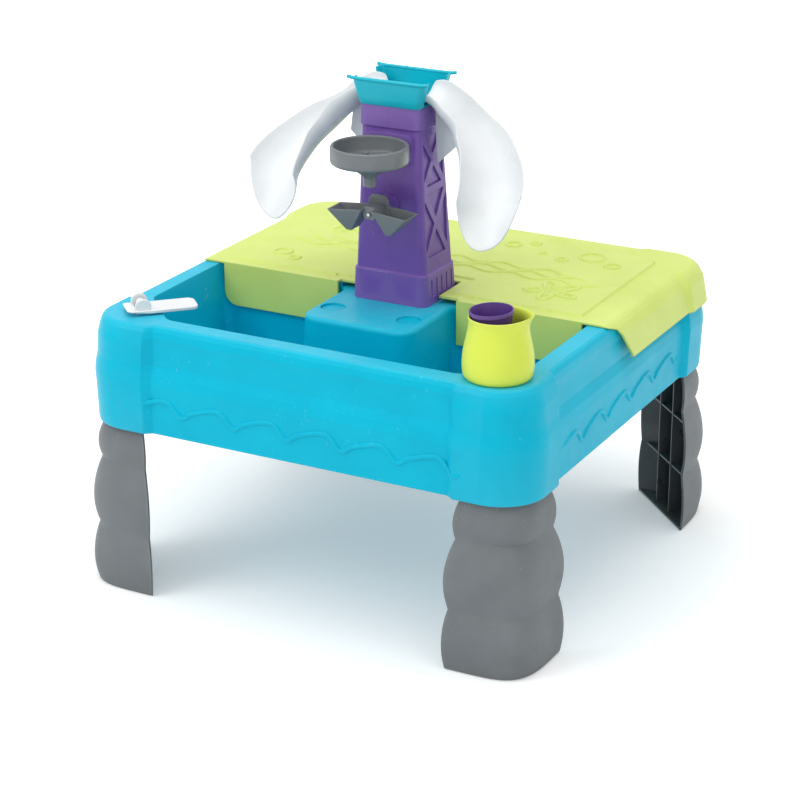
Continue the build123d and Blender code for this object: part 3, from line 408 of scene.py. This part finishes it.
# Screws and pins: zinc-plated steel, blotched and a little hazy
zinc = bpy.data.materials.new("zinc_plated_steel")
zinc.use_nodes = True
tree = zinc.node_tree
tree.nodes.clear()
place = put(tree, "ShaderNodeTexCoord").outputs["Object"]
blotch = put(tree, "ShaderNodeTexNoise", Vector=place, Scale=1000 / 3, Detail=4.0)
tone = put(tree, "ShaderNodeMix", {"data_type": "RGBA"}, Factor=blotch.outputs["Fac"], i6=linear("#9a9c9e"),
           i7=linear("#c3c6c8"))
haze = put(tree, "ShaderNodeMapRange", Value=blotch.outputs["Fac"], To_Min=0.25, To_Max=0.45)
lathe = put(tree, "ShaderNodeBump", Height=blotch.outputs["Fac"], Strength=0.3, Distance=0.00005)
steel = put(tree, "ShaderNodeBsdfPrincipled", Base_Color=tone.outputs[2], Roughness=haze.outputs["Result"],
            Metallic=1.0, Normal=lathe.outputs["Normal"])
put(tree, "ShaderNodeOutputMaterial", Surface=steel.outputs["BSDF"])
dress(zinc, "leg_screws", "tower_screws")


# ---- Lid: a blow-moulded polyethylene cover for the sand side, lime green, with skirts over the
# rim and a raised middle panel.

lid_polyethylene = moulded_plastic("blow_moulded_polyethylene_lime", "#d3e478", "#ccdd6e", 0.45, 1.1, 0.1,
                                   0.12, 2.5)
dress(lid_polyethylene, "lid")
lid_shape = BVHTree.FromObject(nodes["lid"], bpy.context.evaluated_depsgraph_get())
ridge_steps = 6
ridge_sunk = 0.1
# Metres above the floor, over the lid
ridge_ray_from = 0.6


def lid_relief(name, line, half_width, proud, closed=False):
    """A low rounded ridge on top of the lid, along a line of points in plan."""
    count = len(line)
    points, faces = [], []
    for number, (x, y) in enumerate(line):
        before = line[number - 1] if number or closed else line[number]
        after = line[(number + 1) % count] if number < count - 1 or closed else line[number]
        run = Vector((after[0] - before[0], after[1] - before[1])).normalized()
        full = 1.0 if closed else min(1.0, number / 3, (count - 1 - number) / 3)
        for swing in range(ridge_steps + 1):
            turn = math.radians(-90 + 180 * swing / ridge_steps)
            offset = half_width * math.sin(turn) * (0.4 + 0.6 * full)
            at = Vector(((x - run.y * offset) / 1000, (y + run.x * offset) / 1000, ridge_ray_from))
            hit = lid_shape.ray_cast(at, Vector((0, 0, -1)))[0]
            points.append((hit.x * 1000, hit.y * 1000,
                           hit.z * 1000 + proud * math.cos(turn) * full - ridge_sunk))
    for number in range(count if closed else count - 1):
        for swing in range(ridge_steps):
            corner = number * (ridge_steps + 1) + swing
            beyond = (number + 1) % count * (ridge_steps + 1) + swing
            faces.append((corner, corner + 1, beyond + 1, beyond))
    return moulded_piece(name, "lid", lid_polyethylene, points, faces, 80)


def ring_line(x, y, radius, steps=36):
    """Plan of a ring."""
    turns = [2 * math.pi * step / steps for step in range(steps)]
    return [(x + radius * math.cos(turn), y + radius * math.sin(turn)) for turn in turns]


def starfish_line(x, y, reach, turn, steps=80):
    """Plan of a rounded starfish with five arms."""
    line = []
    for step in range(steps):
        angle = 2 * math.pi * step / steps
        arm = (0.5 + 0.5 * math.cos(5 * angle)) ** 1.4
        radius = reach * (0.42 + 0.58 * arm)
        line.append((x + radius * math.cos(angle + turn), y + radius * math.sin(angle + turn)))
    return line


# Long swell lines across the middle, two starfish with a smaller one inside each, and some bubbles
for row in range(3):
    swell_line = [(-296 + 30 * row + 8 * step, 116 + 20 * row + 8 * math.sin(step * 0.62 + row * 0.5))
                  for step in range(75 - 8 * row)]
    lid_relief("lid_swell_line_%d" % row, swell_line, 4.6, 2.8)
for number, (x, y, reach, turn) in enumerate(((-212.0, 236.0, 58.0, 0.3), (228.0, 66.0, 47.0, 0.9))):
    lid_relief("lid_starfish_%d" % number, starfish_line(x, y, reach, turn), 4.6, 3.2, True)
    lid_relief("lid_starfish_heart_%d" % number, starfish_line(x, y, reach * 0.5, turn), 3.4, 2.2, True)
for number, (x, y, radius) in enumerate((
        (-96, 276, 17), (-62, 246, 10), (-103, 236, 7), (214, 256, 21), (262, 228, 12), (173, 222, 9),
        (-262, 44, 15), (-228, 24, 9), (66, 262, 13), (98, 284, 8), (20, 232, 9), (130, 240, 6))):
    lid_relief("lid_bubble_%d" % number, ring_line(x, y, radius), 3.4, 2.6, True)


# ---- Tower: two injection-moulded polypropylene half shells with moulded cross braces, screwed to
# the ledge. Smoother and glossier than the basin.

tower_polypropylene = moulded_plastic("injection_moulded_polypropylene_purple", "#7a58ab", "#7250a3", 0.34, 0.8,
                                      0.04, 0.08, 1.2)
dress(tower_polypropylene, "tower_left_shell", "tower_right_shell")


# ---- Hopper: an injection-moulded polypropylene tray that sits on the tower's top, flush with its
# collar, with flared front and back walls, rolled lips on both, and a mouth to each slide.

hopper_polypropylene = moulded_plastic("injection_moulded_polypropylene_teal", "#00b7cc", "#00adc2", 0.33, 0.8,
                                       0.04, 0.08, 1.0, 0.25)


def tray_ring(level, half_x, front, back, corner, steps=8):
    """Rounded rectangle at a level."""
    ring = []
    right, left = half_x - corner, corner - half_x
    for middle_x, middle_y, start in ((right, back - corner, 0), (left, back - corner, 90),
                                      (left, front + corner, 180), (right, front + corner, 270)):
        for step in range(steps + 1):
            turn = math.radians(start + 90 * step / steps)
            ring.append((middle_x + corner * math.cos(turn), middle_y + corner * math.sin(turn), level))
    return ring


def closed_loft(name, rings):
    """Solid form through rings of points, closed at both ends."""
    points = [point for ring in rings for point in ring]
    faces = ring_ends(0, len(rings), len(rings[0])) + ring_sides(0, len(rings), len(rings[0]))
    return moulded_piece(name, "table", hopper_polypropylene, points, faces, 34)


tray_low = 768.0
tray_high = 809.0
tray_floor = 3.0
tray = closed_loft("hopper_tray", [
    tray_ring(tray_low, 52.5, -67.5, 23.5, 9), tray_ring(tray_low + 2, 54, -69, 25, 10),
    tray_ring(tray_low + 12, 57, -70.4, 26.2, 10), tray_ring(tray_high, 65, -72.2, 28.2, 10)])
bay = closed_loft("hopper_bay", [
    tray_ring(tray_low + tray_floor, 51, -66, 22, 8), tray_ring(tray_low + 12, 54, -67.4, 23.2, 8),
    tray_ring(tray_high + 2, 62.6, -69.8, 25.8, 8)])
mouths = closed_loft("hopper_mouths", [
    [(x, y, z) for x, y in ((-90, -53.5), (90, -53.5), (90, 8.5), (-90, 8.5))]
    for z in (tray_low + tray_floor, tray_high + 20)])
for cutter in (bay, mouths):
    cut = tray.modifiers.new("cut_" + cutter.name, "BOOLEAN")
    cut.operation, cut.solver, cut.object = "DIFFERENCE", "EXACT", cutter
formed = bpy.data.meshes.new_from_object(tray.evaluated_get(bpy.context.evaluated_depsgraph_get()))
tray.modifiers.clear()
tray.data = formed
for cutter in (bay, mouths):
    bpy.data.objects.remove(cutter)
soften_edges(tray, 0.7, 2, 35).harden_normals = True
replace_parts(tray, "hopper")
# Rolled lips, raised a little at their ends
for name, level_y in (("front", -71.6), ("back", 27.6)):
    lip = bpy.data.curves.new("hopper_lip_" + name, "CURVE")
    lip.dimensions = "3D"
    lip.bevel_depth, lip.bevel_resolution, lip.use_fill_caps = 0.0029, 6, True
    line = lip.splines.new("NURBS")
    route = [(-70, 810.0), (-66, 809.7), (-62, 808.6), (-40, 808.4), (40, 808.4), (62, 808.6), (66, 809.7),
             (70, 810.0)]
    line.points.add(len(route) - 1)
    for point, (x, z) in zip(line.points, route):
        point.co = (x / 1000, level_y / 1000, z / 1000, 1.0)
    line.order_u, line.use_endpoint_u = 3, True
    rolled = placed("hopper_lip_" + name, lip)
    lip.materials.append(hopper_polypropylene)
    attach(rolled, "table")


# ---- Slides: two injection-moulded polypropylene troughs, milky white, that carry water from the
# hopper down over the water side. Each is a thin oval channel with a low near wall, a high far wall
# and a rounded tongue, with an upright fin between it and the tower's side.

slide_route = [(34.0, -22.5, 774.0), (57.0, -22.5, 772.5), (80.0, -23.5, 752.0), (114.0, -28.0, 717.0),
               (148.0, -46.0, 680.0), (174.0, -78.0, 634.0), (184.0, -118.0, 575.0)]
# Share of the route, reach of the near wall and of the far wall, height of each
slide_sections = [(0.0, 26.0, 26.0, 4.0, 5.0), (0.09, 28.0, 28.5, 14.0, 25.0), (0.2, 30.0, 30.0, 20.0, 31.0),
                  (0.4, 35.0, 36.0, 29.0, 38.0), (0.6, 40.0, 44.0, 32.0, 48.0), (0.8, 42.0, 54.0, 30.0, 52.0),
                  (1.0, 41.0, 56.0, 22.0, 38.0)]
slide_wall = 2.4
# Share of the route by which the tongue's corners stay behind its tip, and how full its curve is
slide_tongue = 0.2
slide_tongue_full = 0.985
# Share of the route over which the walls turn from upright to square on the slope
slide_upright = 0.4
slide_fin_low = [(97.0, 708.0), (59.5, 672.0), (57.0, 700.0), (56.0, 728.0), (56.0, 760.0)]
slide_fin_faces = (-14.7, -12.3)


def slide_at(share):
    """Point of the slide's route at a share of its runs, on a smooth curve through them."""
    runs = len(slide_route) - 1
    run = min(int(share * runs), runs - 1)
    part = share * runs - run
    before, first, last, after = [Vector(slide_route[max(0, min(runs, run + step))]) for step in (-1, 0, 1, 2)]
    if run == 0:
        before = first - Vector((20, 0, 0))
    if run == runs - 1:
        after = last + (last - first)
    return 0.5 * (2 * first + (last - before) * part + (2 * before - 5 * first + 4 * last - after) * part ** 2
                  + (3 * first - before - 3 * last + after) * part ** 3)


def slide_between(share):
    """Reach and height of both walls at a share of the route, eased between the sections."""
    for here, beyond in zip(slide_sections, slide_sections[1:]):
        if share <= beyond[0]:
            part = (share - here[0]) / (beyond[0] - here[0])
            ease = part * part * (3 - 2 * part) * 0.5 + part * 0.5
            return [low + (high - low) * ease for low, high in zip(here[1:], beyond[1:])]
    return slide_sections[-1][1:]


def slide_piece(name, side):
    """One trough with its fin; side is 1 for the right one, -1 for the left one."""
    work = bmesh.new()
    lengths, turns = 64, 30
    grid = []
    for along in range(lengths + 1):
        row = []
        for turn in range(turns + 1):
            swing = math.radians(-90 + 180 * turn / turns)
            short = 1 - slide_tongue * (1 - math.sqrt(max(1 - (slide_tongue_full * math.sin(swing)) ** 2, 0.0)))
            share = along / lengths * short
            heading = (slide_at(min(share + 0.01, 1)) - slide_at(max(share - 0.01, 0))).normalized()
            across = Vector((0, 0, 1)).cross(heading).normalized()
            facing = Vector((heading.x, heading.y, heading.z * min(1, share / slide_upright))).normalized()
            raised = facing.cross(across)
            near_reach, far_reach, near, far = slide_between(share)
            height, reach = (near, near_reach) if swing < 0 else (far, far_reach)
            point = (slide_at(share) + across * (reach * math.sin(swing))
                     + raised * (height * (1 - math.cos(swing))))
            row.append(work.verts.new((side * point.x / 1000, point.y / 1000, point.z / 1000)))
        grid.append(row)
    for low, high in zip(grid, grid[1:]):
        for turn in range(turns):
            corners = (low[turn], low[turn + 1], high[turn + 1], high[turn])
            work.faces.new(corners if side > 0 else corners[::-1])
    for face in work.faces:
        face.smooth = True
    skin = bpy.data.meshes.new(name)
    work.to_mesh(skin)
    work.free()
    trough = placed(name, skin)
    skin.materials.append(slide_polypropylene)
    wall = trough.modifiers.new("moulded_wall", "SOLIDIFY")
    wall.thickness = slide_wall / 1000
    wall.offset = 1.0
    wall.use_even_offset = True
    soften_edges(trough, 0.8, 2, 50)
    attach(trough, "table")
    # The fin follows the underside of the trough and tapers down the tower's side
    work = bmesh.new()
    under = [slide_at(share) for share in (0.15, 0.2, 0.25, 0.3, 0.35, 0.4)]
    edge = [(point.x, point.z + 0.8) for point in under] + slide_fin_low
    faces = [[work.verts.new((side * x / 1000, y / 1000, z / 1000)) for x, z in edge] for y in slide_fin_faces]
    work.faces.new(faces[0])
    work.faces.new(faces[1][::-1])
    for step in range(len(edge)):
        after = (step + 1) % len(edge)
        work.faces.new((faces[0][step], faces[1][step], faces[1][after], faces[0][after]))
    bmesh.ops.recalc_face_normals(work, faces=work.faces)
    skin = bpy.data.meshes.new(name + "_fin")
    work.to_mesh(skin)
    work.free()
    fin = placed(name + "_fin", skin)
    skin.materials.append(slide_polypropylene)
    soften_edges(fin, 0.6, 2)
    fin.parent = trough
    return trough


slide_polypropylene = moulded_plastic("injection_moulded_polypropylene_white", "#e4e7e8", "#dde0e2", 0.3, 0.8,
                                      0.03, 0.05, 1.2)
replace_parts(slide_piece("trough_right", 1), "slide_right")
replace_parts(slide_piece("trough_left", -1), "slide_left")


# ---- Funnel: an injection-moulded polypropylene dish with a thick rolled rim, a ring of studs round
# its throat and a short spout over the scoop, its back cut flat and fixed to the tower's pad.

grey_polypropylene = moulded_plastic("injection_moulded_polypropylene_grey", "#6f7477", "#686d70", 0.34, 0.8,
                                     0.04, 0.06, 1.0, 0.45)


def turned_piece(name, body, material, profile, foot, lean=(0.0, 0.0), steps=96, shape=None):
    """A turned form: profile of radius and height about an axis that stands on foot and leans."""
    axis = Vector((lean[0], lean[1], 1.0)).normalized()
    right = Vector((1, 0, 0)) - axis * axis.x
    right.normalize()
    away = axis.cross(right)
    points = []
    for radius, height in profile:
        for step in range(steps):
            turn = 2 * math.pi * step / steps
            wide, high = (radius, height) if shape is None else shape(radius, height, turn)
            points.append(Vector(foot) + right * (wide * math.cos(turn)) + away * (wide * math.sin(turn))
                          + axis * high)
    return moulded_piece(name, body, material, points, ring_sides(0, len(profile), steps), 34)


funnel_axis = (0.0, -129.0)
funnel_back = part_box("funnel")[1][1] * 1000
funnel_profile = [
    (8.2, 656.0), (9.6, 656.0), (10.2, 656.8), (10.6, 671.0), (11.6, 673.0), (31.0, 688.0), (33.5, 689.4),
    (55.0, 693.0), (58.8, 694.0), (60.8, 695.8), (61.4, 698.2), (61.6, 718.0), (61.0, 720.6), (59.4, 722.0),
    (57.2, 722.0), (55.8, 720.8), (55.2, 718.0), (54.6, 700.0), (53.0, 697.6), (50.0, 696.2), (33.0, 692.6),
    (30.0, 691.2), (10.0, 676.0), (8.4, 674.0), (8.0, 672.0), (8.2, 656.0),
]


def flat_back(radius, height, turn):
    """Cuts the funnel off flat where it stands against the tower."""
    reach = funnel_back - funnel_axis[1]
    behind = radius * math.sin(turn)
    return (radius if behind <= reach else reach / math.sin(turn)), height


funnel = turned_piece("funnel_dish", "table", grey_polypropylene, funnel_profile, (*funnel_axis, 0.0),
                      shape=flat_back)
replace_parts(funnel, "funnel")
stud_profile = [(4.4, 0.0), (4.2, 3.6), (3.6, 5.0), (2.2, 5.8), (0.0, 6.0)]
stud_circle = 43
stud_level = 693.6
studs = 10
for number in range(studs):
    angle = 2 * math.pi * (number + 0.5) / studs
    stud_foot = (funnel_axis[0] + stud_circle * math.cos(angle),
                 funnel_axis[1] + stud_circle * math.sin(angle), stud_level)
    stud = turned_piece("funnel_stud_%d" % number, "table", grey_polypropylene, stud_profile, stud_foot,
                        steps=20)
    stud.parent = funnel


# ---- Tipping scoop: two open wedges back to back on one hub, injection-moulded polypropylene. It
# rocks on a steel pin that stands out of the tower and shows its end in front of the hub, and it
# has an upright plate behind the hub.

pivot_level = 611.0
pivot_pin_front = -135.0
scoop_wall = 2.4


def scoop_wedge(side, shrink):
    """Corners of one wedge: mouth above, keel below, from front to back."""
    front, back = -142.0 + shrink, -98.0 - shrink
    top, low = pivot_level + 5.0, pivot_level - 29.0 + shrink * 1.3
    inner, outer = 8.0 + shrink, 70.0 - shrink
    keel_inner, keel_outer = 30.0 + shrink * 0.6, 39.0 - shrink * 0.6
    keel_front, keel_back = front + 7.0, back - 7.0
    return [(side * inner, front, top + 3.5), (side * outer, front, top - 2.5),
            (side * outer, back, top - 2.5), (side * inner, back, top + 3.5),
            (side * keel_inner, keel_front, low), (side * keel_outer, keel_front, low),
            (side * keel_outer, keel_back, low), (side * keel_inner, keel_back, low)]


points, faces = [], []
for side in (-1, 1):
    start = len(points)
    points += scoop_wedge(side, 0.0) + scoop_wedge(side, scoop_wall)
    for wall in ((0, 1, 5, 4), (1, 2, 6, 5), (2, 3, 7, 6), (3, 0, 4, 7), (4, 5, 6, 7)):
        faces.append(tuple(start + corner for corner in wall))
        faces.append(tuple(start + 8 + corner for corner in reversed(wall)))
    for first, second in ((0, 1), (1, 2), (2, 3), (3, 0)):
        faces.append((start + first, start + second, start + 8 + second, start + 8 + first))
hub = [(-8.6, -9.0), (8.6, -9.0), (12.0, -2.0), (11.0, 9.0), (7.5, 12.0), (-7.5, 12.0), (-11.0, 9.0),
       (-12.0, -2.0)]
plate = [(-17.0, -6.0), (17.0, -6.0), (17.0, 16.0), (15.4, 20.2), (11.5, 23.2), (6.0, 24.6), (-6.0, 24.6),
         (-11.5, 23.2), (-15.4, 20.2), (-17.0, 16.0)]
for outline, front, back in ((hub, -131.0, -98.6), (plate, -101.6, -98.1)):
    start, count = len(points), len(outline)
    points += [(x, y, pivot_level + z) for y in (front, back) for x, z in outline]
    faces += ring_ends(start, 2, count) + ring_sides(start, 2, count)
scoop = moulded_piece("rocking_scoop", "tipping_scoop", grey_polypropylene, points, faces, 30)
soften_edges(scoop, 0.9, 3)
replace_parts(scoop, "tipping_scoop")
pin_profile = [(0.0, 0.0), (2.4, 0.0), (3.0, 0.6), (3.0, 78.0), (0.0, 78.0)]
pin = turned_piece("pivot_pin", "table", zinc, pin_profile, (0.0, 0.0, 0.0), steps=32)
# Turned upright, then laid along the way from front to back
for vertex in pin.data.vertices:
    vertex.co = (vertex.co.x, pivot_pin_front / 1000 + vertex.co.z, pivot_level / 1000 + vertex.co.y)
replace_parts(pin, "scoop_pin")


# ---- Bucket and cup: a small injection-moulded polyethylene bucket with a full belly, a thin rim
# and a short pouring lip, and a tapered polypropylene cup that leans in its mouth.

bucket_polyethylene = moulded_plastic("injection_moulded_polyethylene_lime", "#dcea58", "#d4e44e", 0.36, 0.9,
                                      0.04, 0.08, 1.2)
cup_polypropylene = moulded_plastic("injection_moulded_polypropylene_violet", "#5b3a86", "#53337c", 0.32, 0.8,
                                    0.04, 0.06, 1.0)
bucket_foot = (308.0, -304.0, 455.0)
bucket_profile = [
    (0.0, 0.6), (44.0, 0.4), (46.5, 0.0), (49.0, 0.7), (51.0, 2.8), (52.5, 7.5), (53.3, 15.0), (53.4, 25.0),
    (52.6, 36.0), (50.8, 47.0), (48.4, 58.0), (46.2, 68.0), (44.7, 77.0), (44.0, 84.0), (44.4, 89.0),
    (45.3, 92.6), (45.5, 94.4), (44.9, 95.6), (43.8, 95.8), (43.0, 95.0), (42.0, 91.0), (41.5, 84.0),
    (42.2, 77.0), (43.7, 68.0), (45.8, 58.0), (48.2, 47.0), (50.0, 36.0), (50.8, 25.0), (50.7, 15.0),
    (49.8, 8.0), (48.0, 4.8), (44.0, 3.2), (0.0, 2.8),
]


def pouring_lip(radius, height, turn):
    """Draws the rim out into a lip towards the right, and dips it a little opposite."""
    near_rim = max(0.0, (height - 72.0) / 24.0) ** 1.6
    off = (turn + math.pi) % (2 * math.pi) - math.pi - 0.45
    lip = math.exp(-(off / 0.42) ** 2)
    return radius + 7.0 * lip * near_rim, height + (1.2 * math.cos(off) - 1.4) * near_rim


bucket = turned_piece("belly_bucket", "bucket", bucket_polyethylene, bucket_profile, bucket_foot, steps=128,
                      shape=pouring_lip)
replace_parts(bucket, "bucket")
cup_profile = [
    (0.0, 0.0), (23.6, 0.0), (24.8, 0.8), (25.2, 2.4), (30.6, 92.0), (32.2, 92.4), (33.0, 93.4), (33.2, 97.4),
    (32.6, 98.6), (31.6, 98.8), (30.8, 98.2), (30.4, 96.0), (28.4, 92.0), (23.2, 5.0), (22.0, 2.8), (0.0, 2.2),
]
cup = turned_piece("drinking_cup", "cup", cup_polypropylene, cup_profile, (302.8, -306.8, 459.4),
                   lean=(-0.046, -0.0245))
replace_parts(cup, "bucket_cup")


# ---- Launcher: a white polypropylene paddle with two round cheeks, which rocks on a steel pin held
# in a small knuckle on the basin's corner; a push on its outer end flips up what lies on the inner one.

launcher_axis = Vector((-312.0, -310.0, 468.0))
paddle_run = Vector((diagonal, diagonal, 0.0))
paddle_side = Vector((diagonal, -diagonal, 0.0))
paddle_low = -9.6
paddle_high = -5.0
cheek_radius = 13.0
cheek_bevel = 0.8
cheek_flat = -8.0


def paddle_point(along, aside, level):
    """Point of the paddle: along it from the pin, aside from its middle, above the pin."""
    return tuple(launcher_axis + paddle_run * along + paddle_side * aside + Vector((0, 0, level)))


outline = [(88.0, -13.0), (88.0, 13.0), (86.5, 18.5), (82.5, 22.5), (77.0, 24.0), (11.0, 24.0), (-20.0, 24.0),
           (-24.5, 22.0), (-26.0, 17.5), (-26.0, -17.5), (-24.5, -22.0), (-20.0, -24.0), (11.0, -24.0),
           (77.0, -24.0), (82.5, -22.5), (86.5, -18.5)]
window = [(11.0, 13.0), (-10.0, 13.0), (-10.0, -13.0), (11.0, -13.0)]
count, opening = len(outline), len(window)
points, faces = [], []
# The outer end slopes up, most on its underside, so that it can be pushed down
for level, flat, slant in ((paddle_low, 2.0, 0.21), (paddle_high, 6.0, 0.08)):
    for along, aside in outline + window:
        points.append(paddle_point(along, aside, level + max(0.0, -along - flat) * slant))
for step in range(count):
    after = (step + 1) % count
    faces.append((step, after, count + opening + after, count + opening + step))
for step in range(opening):
    after = (step + 1) % opening
    faces.append((count + step, count + after, 2 * count + opening + after, 2 * count + opening + step))
# Four faces round the window, below and above, parted at the outline's corners 5, 8, 9 and 12
for shift in (0, count + opening):
    a, b, c, d = (count + shift + corner for corner in range(opening))
    faces.append((*range(shift, shift + 6), a, d, *range(shift + 12, shift + 16)))
    faces.append((shift + 5, shift + 6, shift + 7, shift + 8, b, a))
    faces.append((shift + 8, shift + 9, c, b))
    faces.append((shift + 9, shift + 10, shift + 11, shift + 12, d, c))
# Two round cheeks, flat where they stand on the paddle
for middle in (-16.5, 16.5):
    start, steps = len(points), 40
    for aside, radius in ((middle - 2.5, cheek_radius - cheek_bevel), (middle - 1.8, cheek_radius),
                          (middle + 1.8, cheek_radius), (middle + 2.5, cheek_radius - cheek_bevel)):
        for step in range(steps):
            turn = 2 * math.pi * step / steps
            level = max(radius * math.sin(turn), cheek_flat)
            points.append(paddle_point(radius * math.cos(turn), aside, level))
    faces += ring_sides(start, 4, steps) + ring_ends(start, 4, steps)
paddle = moulded_piece("launcher_paddle", "launcher_arm", slide_polypropylene, points, faces, 30)
soften_edges(paddle, 0.8, 2, 40)
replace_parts(paddle, "launcher_arm")
knuckle = [(-9.0, -13.0), (9.0, -13.0), (8.4, -10.8), (6.6, -9.6), (6.8, -2.0), (6.0, 3.4), (3.4, 6.0),
           (0.0, 6.8), (-3.4, 6.0), (-6.0, 3.4), (-6.8, -2.0), (-6.6, -9.6), (-8.4, -10.8)]
points = [paddle_point(along, aside, level) for aside in (-10.5, 10.5) for along, level in knuckle]
faces = ring_ends(0, 2, len(knuckle)) + ring_sides(0, 2, len(knuckle))
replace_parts(moulded_piece("launcher_knuckle", "table", slide_polypropylene, points, faces, 34), "launcher_base")
pin_steps = 24
steel_pin = []
for aside, radius in ((-17.5, 2.6), (-17.0, 3.0), (17.0, 3.0), (17.5, 2.6)):
    for step in range(pin_steps):
        turn = 2 * math.pi * step / pin_steps
        steel_pin.append(paddle_point(radius * math.cos(turn), aside, radius * math.sin(turn)))
faces = ring_ends(0, 4, pin_steps) + ring_sides(0, 4, pin_steps)
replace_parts(moulded_piece("launcher_steel_pin", "table", zinc, steel_pin, faces, 34), "launcher_pin")


# ---- Studio: a seamless pale floor, a soft key from the front left, a fill from the front right, a
# broad light above and an even white surround. The camera looks down at the front right corner.

sweep = bpy.data.meshes.new("floor")
sweep.from_pydata([(-6, -6, 0), (6, -6, 0), (6, 6, 0), (-6, 6, 0)], [], [(0, 1, 2, 3)])
floor = placed("floor", sweep)
paper = bpy.data.materials.new("studio_paper_white")
paper.use_nodes = True
tree = paper.node_tree
tree.nodes.clear()
fibre = put(tree, "ShaderNodeTexNoise", Scale=900.0, Detail=2.0)
felt = put(tree, "ShaderNodeBump", Height=fibre.outputs["Fac"], Strength=0.1, Distance=0.0002)
paper_shader = put(tree, "ShaderNodeBsdfPrincipled", Base_Color=linear("#f6f8f8"), Roughness=0.9,
                   Normal=felt.outputs["Normal"])
# Away from the table the paper glows up to white, so that only the soft shadow is left on it
spot = put(tree, "ShaderNodeNewGeometry")
reach = put(tree, "ShaderNodeVectorMath", {"operation": "LENGTH"}, i0=spot.outputs["Position"])
fade = put(tree, "ShaderNodeMapRange", Value=reach.outputs["Value"], From_Min=0.5, From_Max=1.9, To_Min=0.22,
           To_Max=1.0)
looked_at = put(tree, "ShaderNodeLightPath")
straight = put(tree, "ShaderNodeMath", {"operation": "MAXIMUM"}, i0=looked_at.outputs["Is Camera Ray"],
               i1=looked_at.outputs["Is Glossy Ray"])
direct = put(tree, "ShaderNodeMath", {"operation": "MAXIMUM"}, i0=straight.outputs[0],
             i1=looked_at.outputs["Is Transmission Ray"])
glow = put(tree, "ShaderNodeMath", {"operation": "MULTIPLY"}, i0=fade.outputs["Result"], i1=direct.outputs[0])
lightbox = put(tree, "ShaderNodeEmission", Color=(1.0, 1.0, 1.0, 1.0), Strength=glow.outputs[0])
white_paper = put(tree, "ShaderNodeAddShader", i0=paper_shader.outputs["BSDF"], i1=lightbox.outputs["Emission"])
put(tree, "ShaderNodeOutputMaterial", Surface=white_paper.outputs["Shader"])
sweep.materials.append(paper)

world = bpy.data.worlds.new("studio_surround")
bpy.context.scene.world = world
world.use_nodes = True
tree = world.node_tree
tree.nodes.clear()
seen = put(tree, "ShaderNodeLightPath")
shown = put(tree, "ShaderNodeMath", {"operation": "MAXIMUM"}, i0=seen.outputs["Is Camera Ray"],
            i1=seen.outputs["Is Glossy Ray"])
white = put(tree, "ShaderNodeMath", {"operation": "MAXIMUM"}, i0=shown.outputs[0],
            i1=seen.outputs["Is Transmission Ray"])
level = put(tree, "ShaderNodeMapRange", Value=white.outputs[0], To_Min=0.72, To_Max=1.0)
surround = put(tree, "ShaderNodeBackground", Color=(1.0, 1.0, 1.0, 1.0), Strength=level.outputs["Result"])
put(tree, "ShaderNodeOutputWorld", Surface=surround.outputs["Background"])

middle = Vector((0.0, 0.0, 0.42))
for name, at, size, power in (
    ("key", (-1.5, -2.1, 2.6), 1.7, 28.0),
    ("fill", (2.4, -2.0, 1.5), 2.0, 6.0),
    ("top", (0.1, -0.2, 3.0), 2.2, 30.0),
):
    lamp = bpy.data.lights.new(name, "AREA")
    lamp.shape = "SQUARE"
    lamp.size = size
    lamp.energy = power
    holder = placed(name, lamp)
    holder.location = at
    holder.rotation_euler = (middle - Vector(at)).to_track_quat("-Z", "Y").to_euler()

lens = bpy.data.cameras.new("camera")
lens.sensor_width = 36.0
lens.lens = 104.8
camera = placed("camera", lens)
camera.location = (1.6726, -3.1824, 1.6631)
camera.rotation_euler = (math.radians(90 - 21.38), 0.0, math.radians(27.94))
bpy.context.scene.camera = camera
bpy.context.scene.view_settings.view_transform = "Standard"
